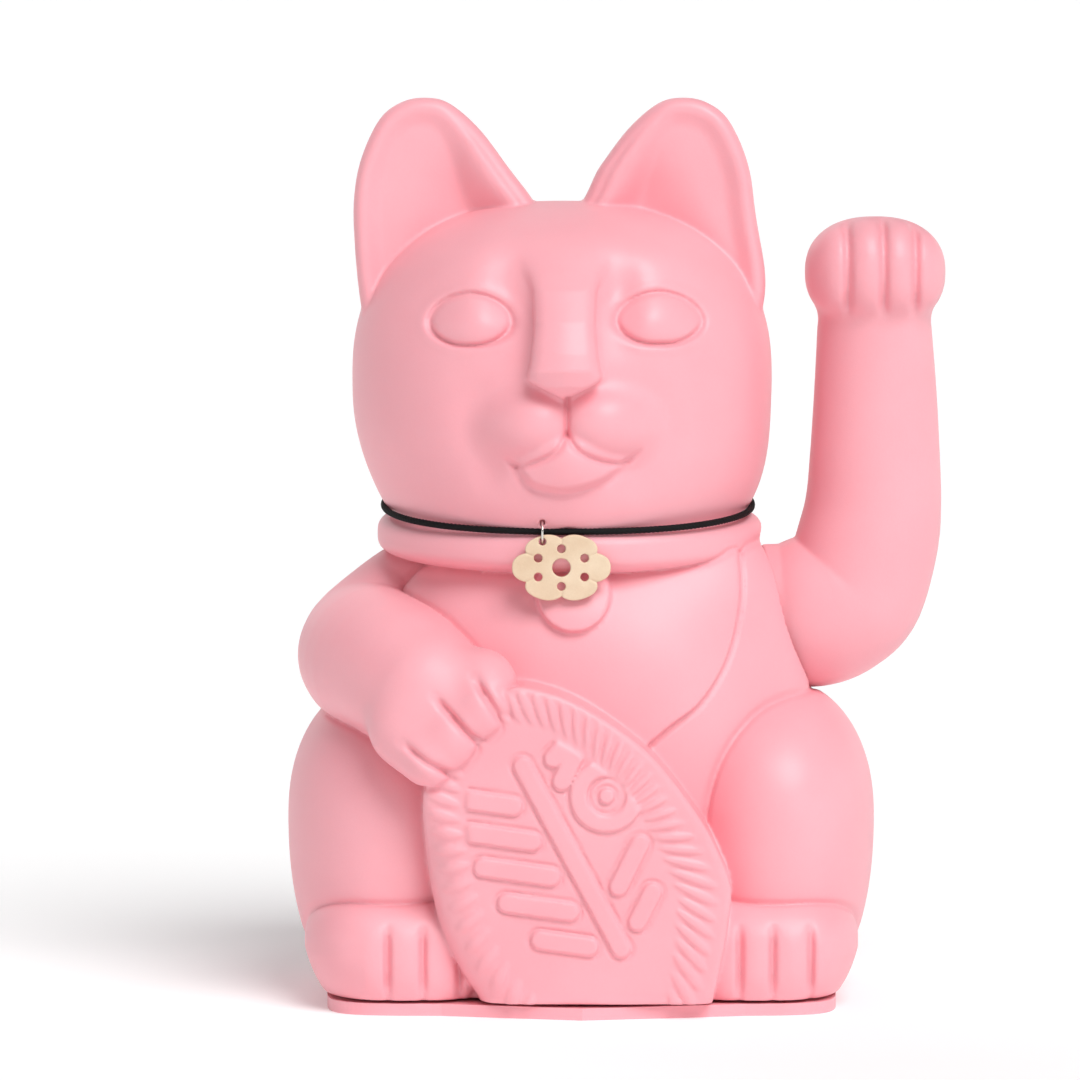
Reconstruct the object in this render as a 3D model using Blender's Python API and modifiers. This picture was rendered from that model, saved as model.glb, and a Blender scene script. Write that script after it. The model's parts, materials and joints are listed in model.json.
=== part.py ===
"""Beckoning cat figurine with a rocking arm.

Frame: metres, +Z up, the cat faces -Y, its left (the raised arm) is +X.
The origin is the centre of the base plate's underside, so Z = 0 is the
surface it stands on. Sizes below are written in millimetres and turned
into metres by the helpers.
"""
import math

import bmesh
import bpy
from mathutils import Matrix, Vector

MM = 0.001
NAME = "beckoning_cat"

# ---------------------------------------------------------------- dimensions
WALL = 2.2                  # moulded wall of the body
ARM_WALL = 1.8              # moulded wall of the raised arm
SEAM_Y = 2.0                # plane where front and rear shells meet
SEAM_GAP = 0.3
PLATE_T = 2.0               # base plate thickness
SHELL_Z = 2.5               # lower edge of the body shells
HEAD_X = -3.2               # the head sits slightly to the cat's right
PIVOT = (0.0, 2.0, 64.5)    # a point on the arm's rocking axis (along X)
ARM_X = 33.8                # inner face of the arm's shoulder
STUB_R = 10.2               # shoulder stub that enters the body
HOLE_R = 11.0               # hole in the body round the stub
CARVE_R = 14.7              # room in the body round the turning shoulder
AXLE_R = 1.25
BORE_R = 1.6                # bores that run on or hold the axle
CORD_R = 0.5                # neck cord
SCREWS = ((-36.5, -15.0), (36.5, -15.0), (-30.0, 21.0), (30.0, 21.0))
CELL = (-14.0, 9.7)         # X and Z of the cell's centre line
CELL_R = 7.1
CELL_Y = (-20.9, 28.4)

# ------------------------------------------------------- the soft outer form
# ("ell", centre, half sizes, exponent, plan exponent, shear): a super-ellipsoid
#     with its own exponent in plan, whose height may rise towards the rear, and
#     a fourth half size where the upper half is not as tall as the lower one
# ("cap", point, radius, point, radius): a round-ended cone
TORSO = (
    ("ell", (0, 3, 40), (37, 33, 42), 2.4, 2.4, 0),
    ("ell", (0, 8, 32), (40, 32, 38), 2.4, 2.4, 0),
    ("ell", (0, 3, 8), (42, 34, 18), 3.0, 3.0, 0),
    ("ell", (-1.9, 1, 77.2), (32.3, 29.5, 5.0), 3.4, 2.05, 0.045),
    ("ell", (14.0, 3, 61.5), (21.4, 24.0, 18.0), 2.6, 2.4, 0),
    ("ell", (-13.0, 6, 58.0), (22.0, 22.0, 16.0), 2.6, 2.4, 0),
    ("ell", (31.5, -2, 30), (17.7, 29.5, 34.0, 22.9), 2.2, 2.2, 0),
    ("ell", (-31.5, -2, 30), (17.7, 29.5, 34.0, 22.9), 2.2, 2.2, 0),
    ("ell", (31.2, -13, 10.5), (15.6, 21.5, 14.5, 10.5), 2.6, 2.6, 0),
    ("ell", (-31.2, -13, 10.5), (15.6, 21.5, 14.5, 10.5), 2.6, 2.6, 0),
    ("cap", (-28.5, 3, 63), 12.0, (-35.8, -4, 57.6), 11.9),
    ("cap", (-35.8, -4, 57.6), 11.9, (-30, -20, 56), 11.8),
    ("cap", (-30, -20, 56), 11.8, (-21, -30, 50.5), 11.0),
)
HEAD = (
    ("ell", (HEAD_X, 1.5, 103.5), (35.2, 31.5, 36.5, 29.3), 2.4, 2.1, 0),
    ("ell", (HEAD_X, -6.0, 88.0), (26.0, 24.2, 16.0), 2.2, 2.0, 0),
    ("ell", (HEAD_X + 0.6, -18.5, 92.0), (17.5, 14.5, 12.5), 2.0, 2.0, 0),
)
# nose, lobes of the muzzle, chin and closed eyes, raised on the face
FACE = (
    ("cap", (-2.9, -31.0, 106.6), 5.3, (-2.9, -24.6, 121.0), 5.0),
    ("ell", (-7.9, -25.0, 97.3), (7.6, 8.2, 6.6), 2.1, 2.1, 0),
    ("ell", (3.1, -25.0, 97.3), (7.6, 8.2, 6.6), 2.1, 2.1, 0),
    ("ell", (-2.4, -23.6, 89.6), (9.0, 8.0, 4.8), 2.2, 2.2, 0),
    ("ell", (-18.3, -24.9, 114.1), (6.8, 3.0, 4.2), 2.0, 2.0, 0),
    ("ell", (12.7, -24.7, 114.3), (7.0, 3.0, 4.2), 2.0, 2.0, 0),
)
# each ear is the hull of three flattened balls: tip, outer foot, inner foot,
# with a shallow bowl in front
EAR = (((23.4, 0.6, 141.7), 8.4), ((27.1, 1.0, 118), 7.6), ((10.6, 1.0, 127), 8.0))
EAR_FLAT = 0.85
EAR_LEAN = 2.6               # the ear on the arm's side leans in by this much at its tip
BOWL_RIM = 3.4
BOWL_DEPTH = 3.4
# the oval coin held on the belly: centre, half sizes, lean and tilt in degrees
COIN = {"c": (-0.5, -27.0, 29.5), "a": 22.6, "b": 29.5, "t": 24.0, "lean": 28.0, "tilt": 4.5}

# the raised arm's centre line and radius from shoulder to wrist, then the paw
ARM_LINE = (
    ((38.5, 2.0, 64.5), 13.4),
    ((42.6, 2.0, 65.1), 12.7),
    ((45.8, 2.0, 67.7), 12.2),
    ((48.2, 2.0, 75.5), 11.9),
    ((49.2, 1.9, 82.0), 11.4),
    ((49.4, 1.5, 91.0), 10.85),
    ((49.4, 1.0, 101.0), 10.25),
    ((49.2, 0.5, 111.0), 9.6),
)
ARM = tuple(("cap", a, ra, b, rb) for (a, ra), (b, rb) in zip(ARM_LINE, ARM_LINE[1:])) + (
    ("ell", (49.2, -1.0, 121.0), (11.7, 11.2, 9.3), 2.3, 2.3, 0),
)


# ------------------------------------------------------------------- helpers
def fresh():
    for ob in list(bpy.data.objects):
        bpy.data.objects.remove(ob, do_unlink=True)


fresh()
PARTS = bpy.data.collections.new(NAME)
CUTS = bpy.data.collections.new(NAME + "_cutters")
bpy.context.scene.collection.children.link(PARTS)
bpy.context.scene.collection.children.link(CUTS)


def v(p):
    return Vector(p) * MM


def material(name, color, rough, metal=0.0):
    m = bpy.data.materials.get(name)
    if m:
        return m
    m = bpy.data.materials.new(name)
    m.use_nodes = True
    b = m.node_tree.nodes["Principled BSDF"]
    b.inputs["Base Color"].default_value = (*color, 1)
    b.inputs["Roughness"].default_value = rough
    b.inputs["Metallic"].default_value = metal
    m.diffuse_color = (*color, 1)
    return m


PINK = material("pink_abs", (0.95, 0.46, 0.52), 0.55)
CORD = material("black_cord", (0.01, 0.01, 0.01), 0.6)
CREAM = material("cream_plastic", (0.83, 0.67, 0.49), 0.45)
STEEL = material("bright_steel", (0.62, 0.62, 0.60), 0.3, 1.0)
NICKEL = material("nickel_spring", (0.72, 0.70, 0.66), 0.25, 1.0)
WHITE = material("white_pom", (0.86, 0.86, 0.84), 0.45)
GREY = material("dark_grey_steel", (0.20, 0.20, 0.21), 0.45, 0.9)
COPPER = material("copper_wire", (0.72, 0.30, 0.12), 0.3, 1.0)
GREEN = material("green_board", (0.03, 0.22, 0.08), 0.5)
BLACK = material("black_epoxy", (0.02, 0.02, 0.02), 0.5)
RED = material("red_lead", (0.60, 0.02, 0.02), 0.5)
CELLM = material("cell_jacket", (0.12, 0.16, 0.20), 0.4, 0.3)
BRASS = material("sintered_bronze", (0.60, 0.42, 0.18), 0.4, 1.0)


def obj_from_bmesh(bm, name, coll=CUTS):
    me = bpy.data.meshes.new(name)
    bm.to_mesh(me)
    bm.free()
    ob = bpy.data.objects.new(name, me)
    coll.objects.link(ob)
    if coll is CUTS:
        ob.hide_render = True
        ob.display_type = "WIRE"
    return ob


def finish(ob, mat, smooth=True, origin=None):
    """Move an object to the parts collection with its own material."""
    for c in list(ob.users_collection):
        c.objects.unlink(ob)
    PARTS.objects.link(ob)
    ob.hide_render = False
    ob.display_type = "TEXTURED"
    ob.data.materials.clear()
    ob.data.materials.append(mat)
    if smooth:
        ob.data.shade_smooth()
        ob.data.set_sharp_from_angle(angle=math.radians(35))
    if origin is not None:
        o = v(origin)
        ob.data.transform(Matrix.Translation(-o))
        ob.location = o
    return ob


def baked(ob):
    """Replace an object's mesh by what its modifiers make of it."""
    bpy.context.view_layer.update()
    dg = bpy.context.evaluated_depsgraph_get()
    me = bpy.data.meshes.new_from_object(ob.evaluated_get(dg), depsgraph=dg)
    ob.modifiers.clear()
    old = ob.data
    ob.data = me
    if isinstance(old, bpy.types.Mesh):
        bpy.data.meshes.remove(old)
    return ob


def drop(ob):
    bpy.data.objects.remove(ob, do_unlink=True)


def boolean(ob, cutter, op="DIFFERENCE", solver="EXACT"):
    m = ob.modifiers.new("bool", "BOOLEAN")
    m.operation = op
    m.object = cutter
    m.solver = solver
    baked(ob)
    drop(cutter)
    return ob


def join(obs):
    bm = bmesh.new()
    for ob in obs:
        bm.from_mesh(ob.data)
        name = ob.name
        drop(ob)
    return obj_from_bmesh(bm, name)


def ell(c, r, n=2.0, m=None, shear=0.0, u=28, w=18, name="ell"):
    """Super-ellipsoid, exponent n in height and m in plan."""
    m = m or n
    top = r[3] if len(r) > 3 else r[2]
    bm = bmesh.new()
    bmesh.ops.create_uvsphere(bm, u_segments=u, v_segments=w, radius=1.0)
    for x in bm.verts:
        d = x.co.normalized()
        s = ((abs(d.x) ** m + abs(d.y) ** m) ** (n / m) + abs(d.z) ** n) ** (-1.0 / n)
        h = d.y * s * r[1]
        x.co = Vector((d.x * s * r[0] + c[0], h + c[1],
                       d.z * s * (top if d.z > 0 else r[2]) + c[2] + shear * h)) * MM
    return obj_from_bmesh(bm, name)


def along(a, b):
    d = (Vector(b) - Vector(a))
    return d.to_track_quat("Z", "Y").to_matrix().to_4x4(), d.length


def rod(a, b, r, r2=None, seg=24, name="rod"):
    """A cylinder or cone with its ends at two points."""
    m, length = along(a, b)
    bm = bmesh.new()
    bmesh.ops.create_cone(bm, cap_ends=True, segments=seg, radius1=r * MM,
                          radius2=(r if r2 is None else r2) * MM, depth=length * MM,
                          matrix=Matrix.Translation(v((Vector(a) + Vector(b)) / 2)) @ m)
    return obj_from_bmesh(bm, name)


def box(lo, hi, name="box", bevel=0.0):
    bm = bmesh.new()
    bmesh.ops.create_cube(bm, size=1.0)
    for x in bm.verts:
        x.co = Vector((x.co[i] * (hi[i] - lo[i]) + (hi[i] + lo[i]) / 2) * MM for i in range(3))
    if bevel:
        bmesh.ops.bevel(bm, geom=bm.edges[:] + bm.verts[:], offset=bevel * MM, segments=2,
                        affect="EDGES", profile=0.5)
    return obj_from_bmesh(bm, name)


def capsule(a, ra, b, rb):
    out = [ell(a, (ra,) * 3), ell(b, (rb,) * 3)]
    d = (Vector(b) - Vector(a))
    length = d.length
    # the cone touches both balls along their common tangent
    s = max(-0.95, min(0.95, (ra - rb) / max(length, 1e-6)))
    c = math.sqrt(1 - s * s)
    u = d.normalized()
    out.append(rod(Vector(a) + u * ra * s, Vector(b) + u * rb * s, ra * c, rb * c, seg=28))
    return out


def turned(name, profile, at=(0, 0, 0), axis="Z", steps=24):
    """A closed profile of (radius, height) turned about Z, then laid on an axis."""
    bm = bmesh.new()
    vs = [bm.verts.new((r * MM, 0, z * MM)) for r, z in profile]
    for a, b in zip(vs, vs[1:]):
        bm.edges.new((a, b))
    if profile[0][0] > 1e-6 and profile[-1][0] > 1e-6:
        bm.edges.new((vs[-1], vs[0]))
    ob = obj_from_bmesh(bm, name)
    m = ob.modifiers.new("screw", "SCREW")
    m.steps = m.render_steps = steps
    m.use_merge_vertices = True
    m.merge_threshold = 0.00001
    m.use_normal_calculate = True
    baked(ob)
    bm = bmesh.new()
    bm.from_mesh(ob.data)
    bmesh.ops.remove_doubles(bm, verts=bm.verts, dist=1e-7)
    bmesh.ops.recalc_face_normals(bm, faces=bm.faces)
    bm.to_mesh(ob.data)
    bm.free()
    rot = Matrix.Rotation(math.radians(90), 4, "Y") if axis == "X" else Matrix.Identity(4)
    ob.data.transform(Matrix.Translation(v(at)) @ rot)
    return ob


def tube(name, points, r, cyclic=False, res=2):
    """A round wire along a smooth line through the points."""
    cu = bpy.data.curves.new(name, "CURVE")
    cu.dimensions = "3D"
    cu.bevel_depth = r * MM
    cu.bevel_resolution = res
    cu.use_fill_caps = not cyclic
    s = cu.splines.new("POLY")
    s.points.add(len(points) - 1)
    for p, q in zip(s.points, points):
        p.co = (*(v(q)), 1)
    s.use_cyclic_u = cyclic
    ob = bpy.data.objects.new(name, cu)
    CUTS.objects.link(ob)
    bpy.context.view_layer.update()
    dg = bpy.context.evaluated_depsgraph_get()
    me = bpy.data.meshes.new_from_object(ob.evaluated_get(dg), depsgraph=dg)
    drop(ob)
    bm = bmesh.new()
    bm.from_mesh(me)
    bpy.data.meshes.remove(me)
    bmesh.ops.remove_doubles(bm, verts=bm.verts, dist=1e-6)
    bmesh.ops.recalc_face_normals(bm, faces=bm.faces)
    return obj_from_bmesh(bm, name)


def spline(pts, n):
    """Catmull-Rom line through a few points, read at n places."""
    P = [Vector(p) for p in pts]
    P = [P[0] * 2 - P[1]] + P + [P[-1] * 2 - P[-2]]
    out = []
    for i in range(n):
        t = i / (n - 1) * (len(P) - 3)
        k = min(int(t), len(P) - 4)
        t -= k
        a, b, c, d = P[k:k + 4]
        out.append(0.5 * (2 * b + (c - a) * t + (2 * a - 5 * b + 4 * c - d) * t * t
                          + (3 * b - a - 3 * c + d) * t ** 3))
    return out


def flat(name, outline, z0, z1, holes=()):
    """A flat outline in XY, with round holes (x, y, radius, sides), from z0 to z1."""
    cu = bpy.data.curves.new(name, "CURVE")
    cu.dimensions = "2D"
    cu.fill_mode = "BOTH"
    cu.extrude = (z1 - z0) / 2 * MM
    s = cu.splines.new("POLY")
    s.points.add(len(outline) - 1)
    for p, q in zip(s.points, outline):
        p.co = (q[0] * MM, q[1] * MM, 0, 1)
    s.use_cyclic_u = True
    for x, y, r, k in holes:
        s = cu.splines.new("POLY")
        s.points.add(k - 1)
        for i, p in enumerate(s.points):
            p.co = ((x + r * math.cos(2 * math.pi * i / k)) * MM, (y + r * math.sin(2 * math.pi * i / k)) * MM, 0, 1)
        s.use_cyclic_u = True
    ob = bpy.data.objects.new(name, cu)
    CUTS.objects.link(ob)
    bpy.context.view_layer.update()
    dg = bpy.context.evaluated_depsgraph_get()
    me = bpy.data.meshes.new_from_object(ob.evaluated_get(dg), depsgraph=dg)
    drop(ob)
    bm = bmesh.new()
    bm.from_mesh(me)
    bpy.data.meshes.remove(me)
    bmesh.ops.remove_doubles(bm, verts=bm.verts, dist=1e-6)
    bmesh.ops.recalc_face_normals(bm, faces=bm.faces)
    bmesh.ops.translate(bm, verts=bm.verts, vec=(0, 0, (z0 + z1) / 2 * MM))
    return obj_from_bmesh(bm, name)


def soft(name, shapes, shrink, voxel, faces, extra=()):
    """Melt overlapping closed shapes into one smooth skin."""
    obs = list(extra)
    for s in shapes:
        if s[0] == "ell":
            r = tuple(k - shrink for k in s[2])
            obs.append(ell(s[1], r, s[3], s[4], s[5]))
        else:
            obs += capsule(s[1], s[2] - shrink, s[3], s[4] - shrink)
    ob = join(obs)
    ob.name = name
    m = ob.modifiers.new("remesh", "REMESH")
    m.mode = "VOXEL"
    m.voxel_size = voxel * MM
    m = ob.modifiers.new("smooth", "SMOOTH")
    m.factor = 0.5
    m.iterations = 3
    baked(ob)
    n = len(ob.data.polygons) * 2
    m = ob.modifiers.new("decimate", "DECIMATE")
    m.ratio = min(1.0, faces / n)
    baked(ob)
    return ob


def ear(side, shrink=0.0):
    bm = bmesh.new()
    for c, r in EAR:
        x = HEAD_X + side * c[0] - (EAR_LEAN * (c[2] - 118) / 23.7 if side > 0 else 0)
        mat = Matrix.Translation(v((x, c[1], c[2]))) @ Matrix.Diagonal((1, EAR_FLAT, 1, 1))
        bmesh.ops.create_uvsphere(bm, u_segments=20, v_segments=14, radius=(r - shrink) * MM, matrix=mat)
    hull = bmesh.ops.convex_hull(bm, input=bm.verts[:])
    gone = {g for g in hull["geom_interior"] + hull["geom_unused"] if isinstance(g, bmesh.types.BMVert)}
    bmesh.ops.delete(bm, geom=list(gone), context="VERTS")
    keep = {f for f in hull["geom"] if isinstance(f, bmesh.types.BMFace)}
    bmesh.ops.delete(bm, geom=[f for f in bm.faces if f not in keep], context="FACES_ONLY")
    bmesh.ops.delete(bm, geom=[e for e in bm.edges if not e.link_faces], context="EDGES")
    bmesh.ops.recalc_face_normals(bm, faces=bm.faces)
    return obj_from_bmesh(bm, "ear")


def bowled_ear(side):
    """An ear with a smaller copy of itself taken out of its front."""
    bite = ear(side, BOWL_RIM)
    half = (EAR[0][1] - BOWL_RIM) * EAR_FLAT
    bite.data.transform(Matrix.Translation(v((0, BOWL_DEPTH - EAR[0][1] * EAR_FLAT - half, 0))))
    return boolean(ear(side), bite)


def coin(shrink=0.0):
    """Oval block whose front face leans back a little."""
    bm = bmesh.new()
    bmesh.ops.create_cone(bm, cap_ends=True, segments=40, radius1=1, radius2=1, depth=1)
    bmesh.ops.scale(bm, verts=bm.verts, vec=((COIN["a"] - shrink) * MM, (COIN["b"] - shrink) * MM,
                                             (COIN["t"] - 2 * shrink) * MM))
    m = (Matrix.Translation(v(COIN["c"])) @ Matrix.Rotation(math.radians(-COIN["lean"]), 4, "Y")
         @ Matrix.Rotation(math.radians(90 - COIN["tilt"]), 4, "X"))
    bmesh.ops.transform(bm, verts=bm.verts, matrix=m)
    return obj_from_bmesh(bm, "coin")


def outline(n=96, inset=0.0):
    """Edge of the base plate: a squarish oval with a swell in front for the coin."""
    out = []
    for i in range(n):
        t = 2 * math.pi * i / n
        c, s = math.cos(t), math.sin(t)
        k, depth = (3.1, 33.6) if s > 0 else (9.0, 34.6)
        x = math.copysign(abs(c) ** (2 / k), c) * (42.3 - inset)
        y = math.copysign(abs(s) ** (2 / k), s) * (depth - inset) + 2.0
        if s < 0:
            y -= 5.4 * math.exp(-((x - 2.5) / 18.5) ** 6)
        out.append((x, y))
    return out


def cord_line(n=38, open_at=0.0):
    """The cord's centre line: an oval round the neck, lower in front.

    It starts and ends at the back, open_at radians to each side of the knot.
    """
    out = []
    for i in range(n):
        t = math.pi / 2 + open_at + (2 * math.pi - 2 * open_at) * i / (n - (1 if open_at else 0))
        x = -2.2 + 30.9 * math.copysign(abs(math.cos(t)) ** 0.9, math.cos(t))
        y = 1.0 + 28.6 * math.copysign(abs(math.sin(t)) ** 0.9, math.sin(t))
        out.append((x, y, 82.0 + 0.09 * (y - 1.0)))
    return out


BIG = 200.0
KNOT = (-2.2, 30.3, 84.6)
RING = (-6.5, -28.25, 79.3)     # centre of the ring round the cord, and the pendant's pivot
RING_R = 1.75
PENDANT = (-3.4, -29.2, 73.66)  # centre of the flat pendant


def ring_line(n=20):
    """The ring's wire, in a plane across the cord."""
    return [(RING[0], RING[1] + RING_R * math.cos(2 * math.pi * i / n),
             RING[2] + RING_R * math.sin(2 * math.pi * i / n)) for i in range(n)]


# ------------------------------------------------------------ body of the cat
outer = soft("outer", TORSO + HEAD + FACE, 0.0, 1.3, 4700, (bowled_ear(1), bowled_ear(-1), coin()))
boolean(outer, box((-BIG, -BIG, -BIG), (BIG, BIG, SHELL_Z)))
boolean(outer, rod((33.2, PIVOT[1], PIVOT[2]), (70, PIVOT[1], PIVOT[2]), CARVE_R, seg=40))
boolean(outer, tube("groove", cord_line(), CORD_R + 0.4, cyclic=True, res=1))
boolean(outer, ell(KNOT, (2.1, 1.8, 1.8), u=16, w=10))
boolean(outer, tube("ring_room", ring_line(), 0.55, cyclic=True, res=1))

cavity = soft("cavity", TORSO + HEAD[:2], WALL + 0.3, 2.2, 1100, (coin(WALL + 0.6),))
boolean(cavity, box((-BIG, -BIG, -BIG), (BIG, BIG, 5.0)))
# straight room down through the open underside
mouth = flat("mouth", outline(48, 3.2), 0.0, 9.0)
boolean(cavity, mouth, "UNION")
boolean(cavity, box((CELL[0] - 9.6, -24.0, 0.0), (CELL[0] + 9.6, 31.6, 19.0)), "UNION")
for bx, by in SCREWS:
    ux, uy = bx / math.hypot(bx, by), by / math.hypot(bx, by)
    boss = rod((bx, by, 4.0), (bx, by, 19.0), 3.6, seg=20)
    web = box((0, -1.0, 4.0), (12, 1.0, 19.0))
    web.data.transform(Matrix.Translation(v((bx, by, 0))) @ Matrix.Rotation(math.atan2(uy, ux), 4, "Z"))
    boolean(boss, web, "UNION")
    boolean(cavity, boss)
boolean(outer, cavity)
boolean(outer, rod((18, PIVOT[1], PIVOT[2]), (36, PIVOT[1], PIVOT[2]), HOLE_R, seg=40))
for bx, by in SCREWS:
    boolean(outer, rod((bx, by, 0.0), (bx, by, 14.0), 1.45, seg=12))
    boolean(outer, rod((bx, by, 0.0), (bx, by, 3.95), 4.6, seg=20))

rear = obj_from_bmesh(bmesh.new(), "rear_shell")
rear.data = outer.data.copy()
front = outer
front.name = "front_shell"
boolean(front, box((-BIG, -BIG, -BIG), (BIG, SEAM_Y, BIG)), "INTERSECT")
boolean(rear, box((-BIG, SEAM_Y + SEAM_GAP, -BIG), (BIG, BIG, BIG)), "INTERSECT")


def tidy(ob, least=0.2):
    """Keep the piece's largest body; small slivers left by a cut are dropped."""
    bm = bmesh.new()
    bm.from_mesh(ob.data)
    bmesh.ops.remove_doubles(bm, verts=bm.verts, dist=2e-6)
    left, groups = set(bm.faces), []
    while left:
        f = left.pop()
        g, stack = {f}, [f]
        while stack:
            for e in stack.pop().edges:
                for k in e.link_faces:
                    if k in left:
                        left.discard(k)
                        g.add(k)
                        stack.append(k)
        groups.append(g)
    groups.sort(key=lambda g: -sum(f.calc_area() for f in g))
    for g in groups[1:]:
        bmesh.ops.delete(bm, geom=list(g), context="FACES")
    bmesh.ops.triangulate(bm, faces=bm.faces)
    bmesh.ops.dissolve_degenerate(bm, dist=2e-6, edges=bm.edges)
    bm.to_mesh(ob.data)
    bm.free()
    return ob


for ob in (front, rear):
    tidy(ob)
    finish(ob, PINK)

# ----------------------------------------------------------------- raised arm
arm = soft("arm", ARM, 0.0, 1.3, 1000)
boolean(arm, box((-BIG, -BIG, -BIG), (ARM_X, BIG, BIG)))
boolean(arm, rod((30.0, PIVOT[1], PIVOT[2]), (38.0, PIVOT[1], PIVOT[2]), STUB_R, seg=32), "UNION")
hollow = soft("arm_hollow", ARM, ARM_WALL + 0.2, 1.6, 420)
boolean(hollow, box((-BIG, -BIG, -BIG), (ARM_X + 2.5, BIG, BIG)))
boolean(hollow, rod((28.0, PIVOT[1], PIVOT[2]), (42.0, PIVOT[1], PIVOT[2]), STUB_R - ARM_WALL, seg=32), "UNION")
boolean(arm, hollow)
arm_rear = obj_from_bmesh(bmesh.new(), "arm_rear_half")
arm_rear.data = arm.data.copy()
arm.name = "arm_front_half"
boolean(arm, box((-BIG, -BIG, -BIG), (BIG, PIVOT[1], BIG)), "INTERSECT")
boolean(arm_rear, box((-BIG, PIVOT[1] + 0.2, -BIG), (BIG, BIG, BIG)), "INTERSECT")
for ob in (arm, arm_rear):
    tidy(ob)
    finish(ob, PINK, origin=PIVOT)

px, py, pz = PIVOT
hub = turned("arm_hub", ((STUB_R - ARM_WALL - 0.3, 3.5), (STUB_R - ARM_WALL - 0.3, -3.5),
                         (4.0, -3.5), (4.0, -4.9), (BORE_R, -4.9), (BORE_R, 3.5)), (34.0, py, pz), "X")
finish(hub, WHITE, origin=PIVOT)
axle = turned("pivot_axle", ((0, 20.0), (AXLE_R - 0.3, 20.0), (AXLE_R, 19.7), (AXLE_R, -17.7),
                             (AXLE_R - 0.3, -18.0), (0, -18.0)), (20.0, py, pz), "X", 16)
finish(axle, STEEL, origin=PIVOT)
for nm, x in (("axle_collar_left", 3.6), ("axle_collar_right", 28.1)):
    ring = turned(nm, ((3.2, 0.6), (3.2, -0.6), (BORE_R, -0.6), (BORE_R, 0.6)), (x, py, pz), "X", 20)
    finish(ring, NICKEL, origin=PIVOT)

# pendulum inside the body
lever = box((15.0, py - 3.0, 19.2), (17.0, py + 3.0, pz + 3.0), "pendulum_lever")
boolean(lever, rod((12.0, py, pz), (20.0, py, pz), 4.2, seg=24), "UNION")
boolean(lever, box((10.6, py - 5.4, 18.2), (21.4, py + 5.4, 19.7)), "UNION")
boolean(lever, rod((5, py, pz), (25, py, pz), BORE_R, seg=16))
finish(lever, WHITE, origin=PIVOT)
magnet = turned("pendulum_magnet", ((0, 1.5), (4.7, 1.5), (5.0, 1.2), (5.0, -1.2), (4.7, -1.5), (0, -1.5)),
                (16.0, py, 16.3))
finish(magnet, NICKEL, origin=PIVOT)
WEIGHT_Y, WEIGHT_Z, WEIGHT_R = py + 1.3, 35.0, 9.0
weight = turned("counterweight", ((0, 2.2), (WEIGHT_R - 0.5, 2.2), (WEIGHT_R, 1.7), (WEIGHT_R, -1.7),
                                  (WEIGHT_R - 0.5, -2.2), (0, -2.2)), (12.4, WEIGHT_Y, WEIGHT_Z), "X", 28)
finish(weight, GREY, origin=PIVOT)

# frame that carries the axle
FRAME_SCREWS = ((25.8, py - 9.2), (6.2, py + 9.2))
frame = box((2.6, py - 12.0, 2.3), (29.4, py + 12.0, 4.3), "pivot_frame")
for x in (5.0, 24.6):
    boolean(frame, box((x, py - 6.0, 3.0), (x + 2.4, py + 6.0, pz - 1.0)), "UNION")
    boolean(frame, rod((x, py, pz), (x + 2.4, py, pz), 6.0, seg=28), "UNION")
boolean(frame, rod((0, py, pz), (32, py, pz), 3.5, seg=24))
for x, y in FRAME_SCREWS:
    boolean(frame, rod((x, y, 0), (x, y, 8), 1.2, seg=14))
finish(frame, WHITE)
for nm, x in (("bearing_bush_left", 6.2), ("bearing_bush_right", 25.8)):
    bush = turned(nm, ((3.2, 1.5), (3.2, -1.5), (BORE_R, -1.5), (BORE_R, 1.5)), (x, py, pz), "X", 20)
    finish(bush, BRASS)

# drive coil
bob = turned("coil_bobbin", ((7.9, 4.0), (7.9, 3.2), (3.2, 3.2), (3.2, -3.2), (7.9, -3.2), (7.9, -4.0),
                             (1.6, -4.0), (1.6, 4.0)), (16.0, py, 8.7), "Z", 24)
finish(bob, WHITE)
wind = turned("coil_winding", ((7.3, 2.6), (7.5, 2.2), (7.5, -2.2), (7.3, -2.6), (3.5, -2.6), (3.5, 2.6)),
              (16.0, py, 8.7), "Z", 24)
finish(wind, COPPER)

# ----------------------------------------------------------------- base plate
plate = flat("base_plate", outline(), 0.0, PLATE_T)
cx, cz = CELL
HX0, HX1, HY0, HY1, HZ = cx - 8.6, cx + 8.6, -23.0, 30.6, 18.2
house = box((HX0, HY0, PLATE_T - 0.5), (HX1, HY1, HZ))
boolean(plate, house, "UNION")
boolean(plate, box((HX0 + 1.0, HY0 + 0.9, -5.0), (HX1 - 1.0, HY1 - 0.9, HZ - 1.0)))
boolean(plate, box((HX0 + 1.0, HY0 + 0.9, 8.0), (HX1 - 1.0, HY0 + 4.5, HZ + 2.0)))
boolean(plate, box((HX0 + 1.0, HY1 - 4.5, 8.0), (HX1 - 1.0, HY1 - 0.9, HZ + 2.0)))
DOOR = (HX0 + 0.2, HX1 - 0.2, -21.0)
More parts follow.
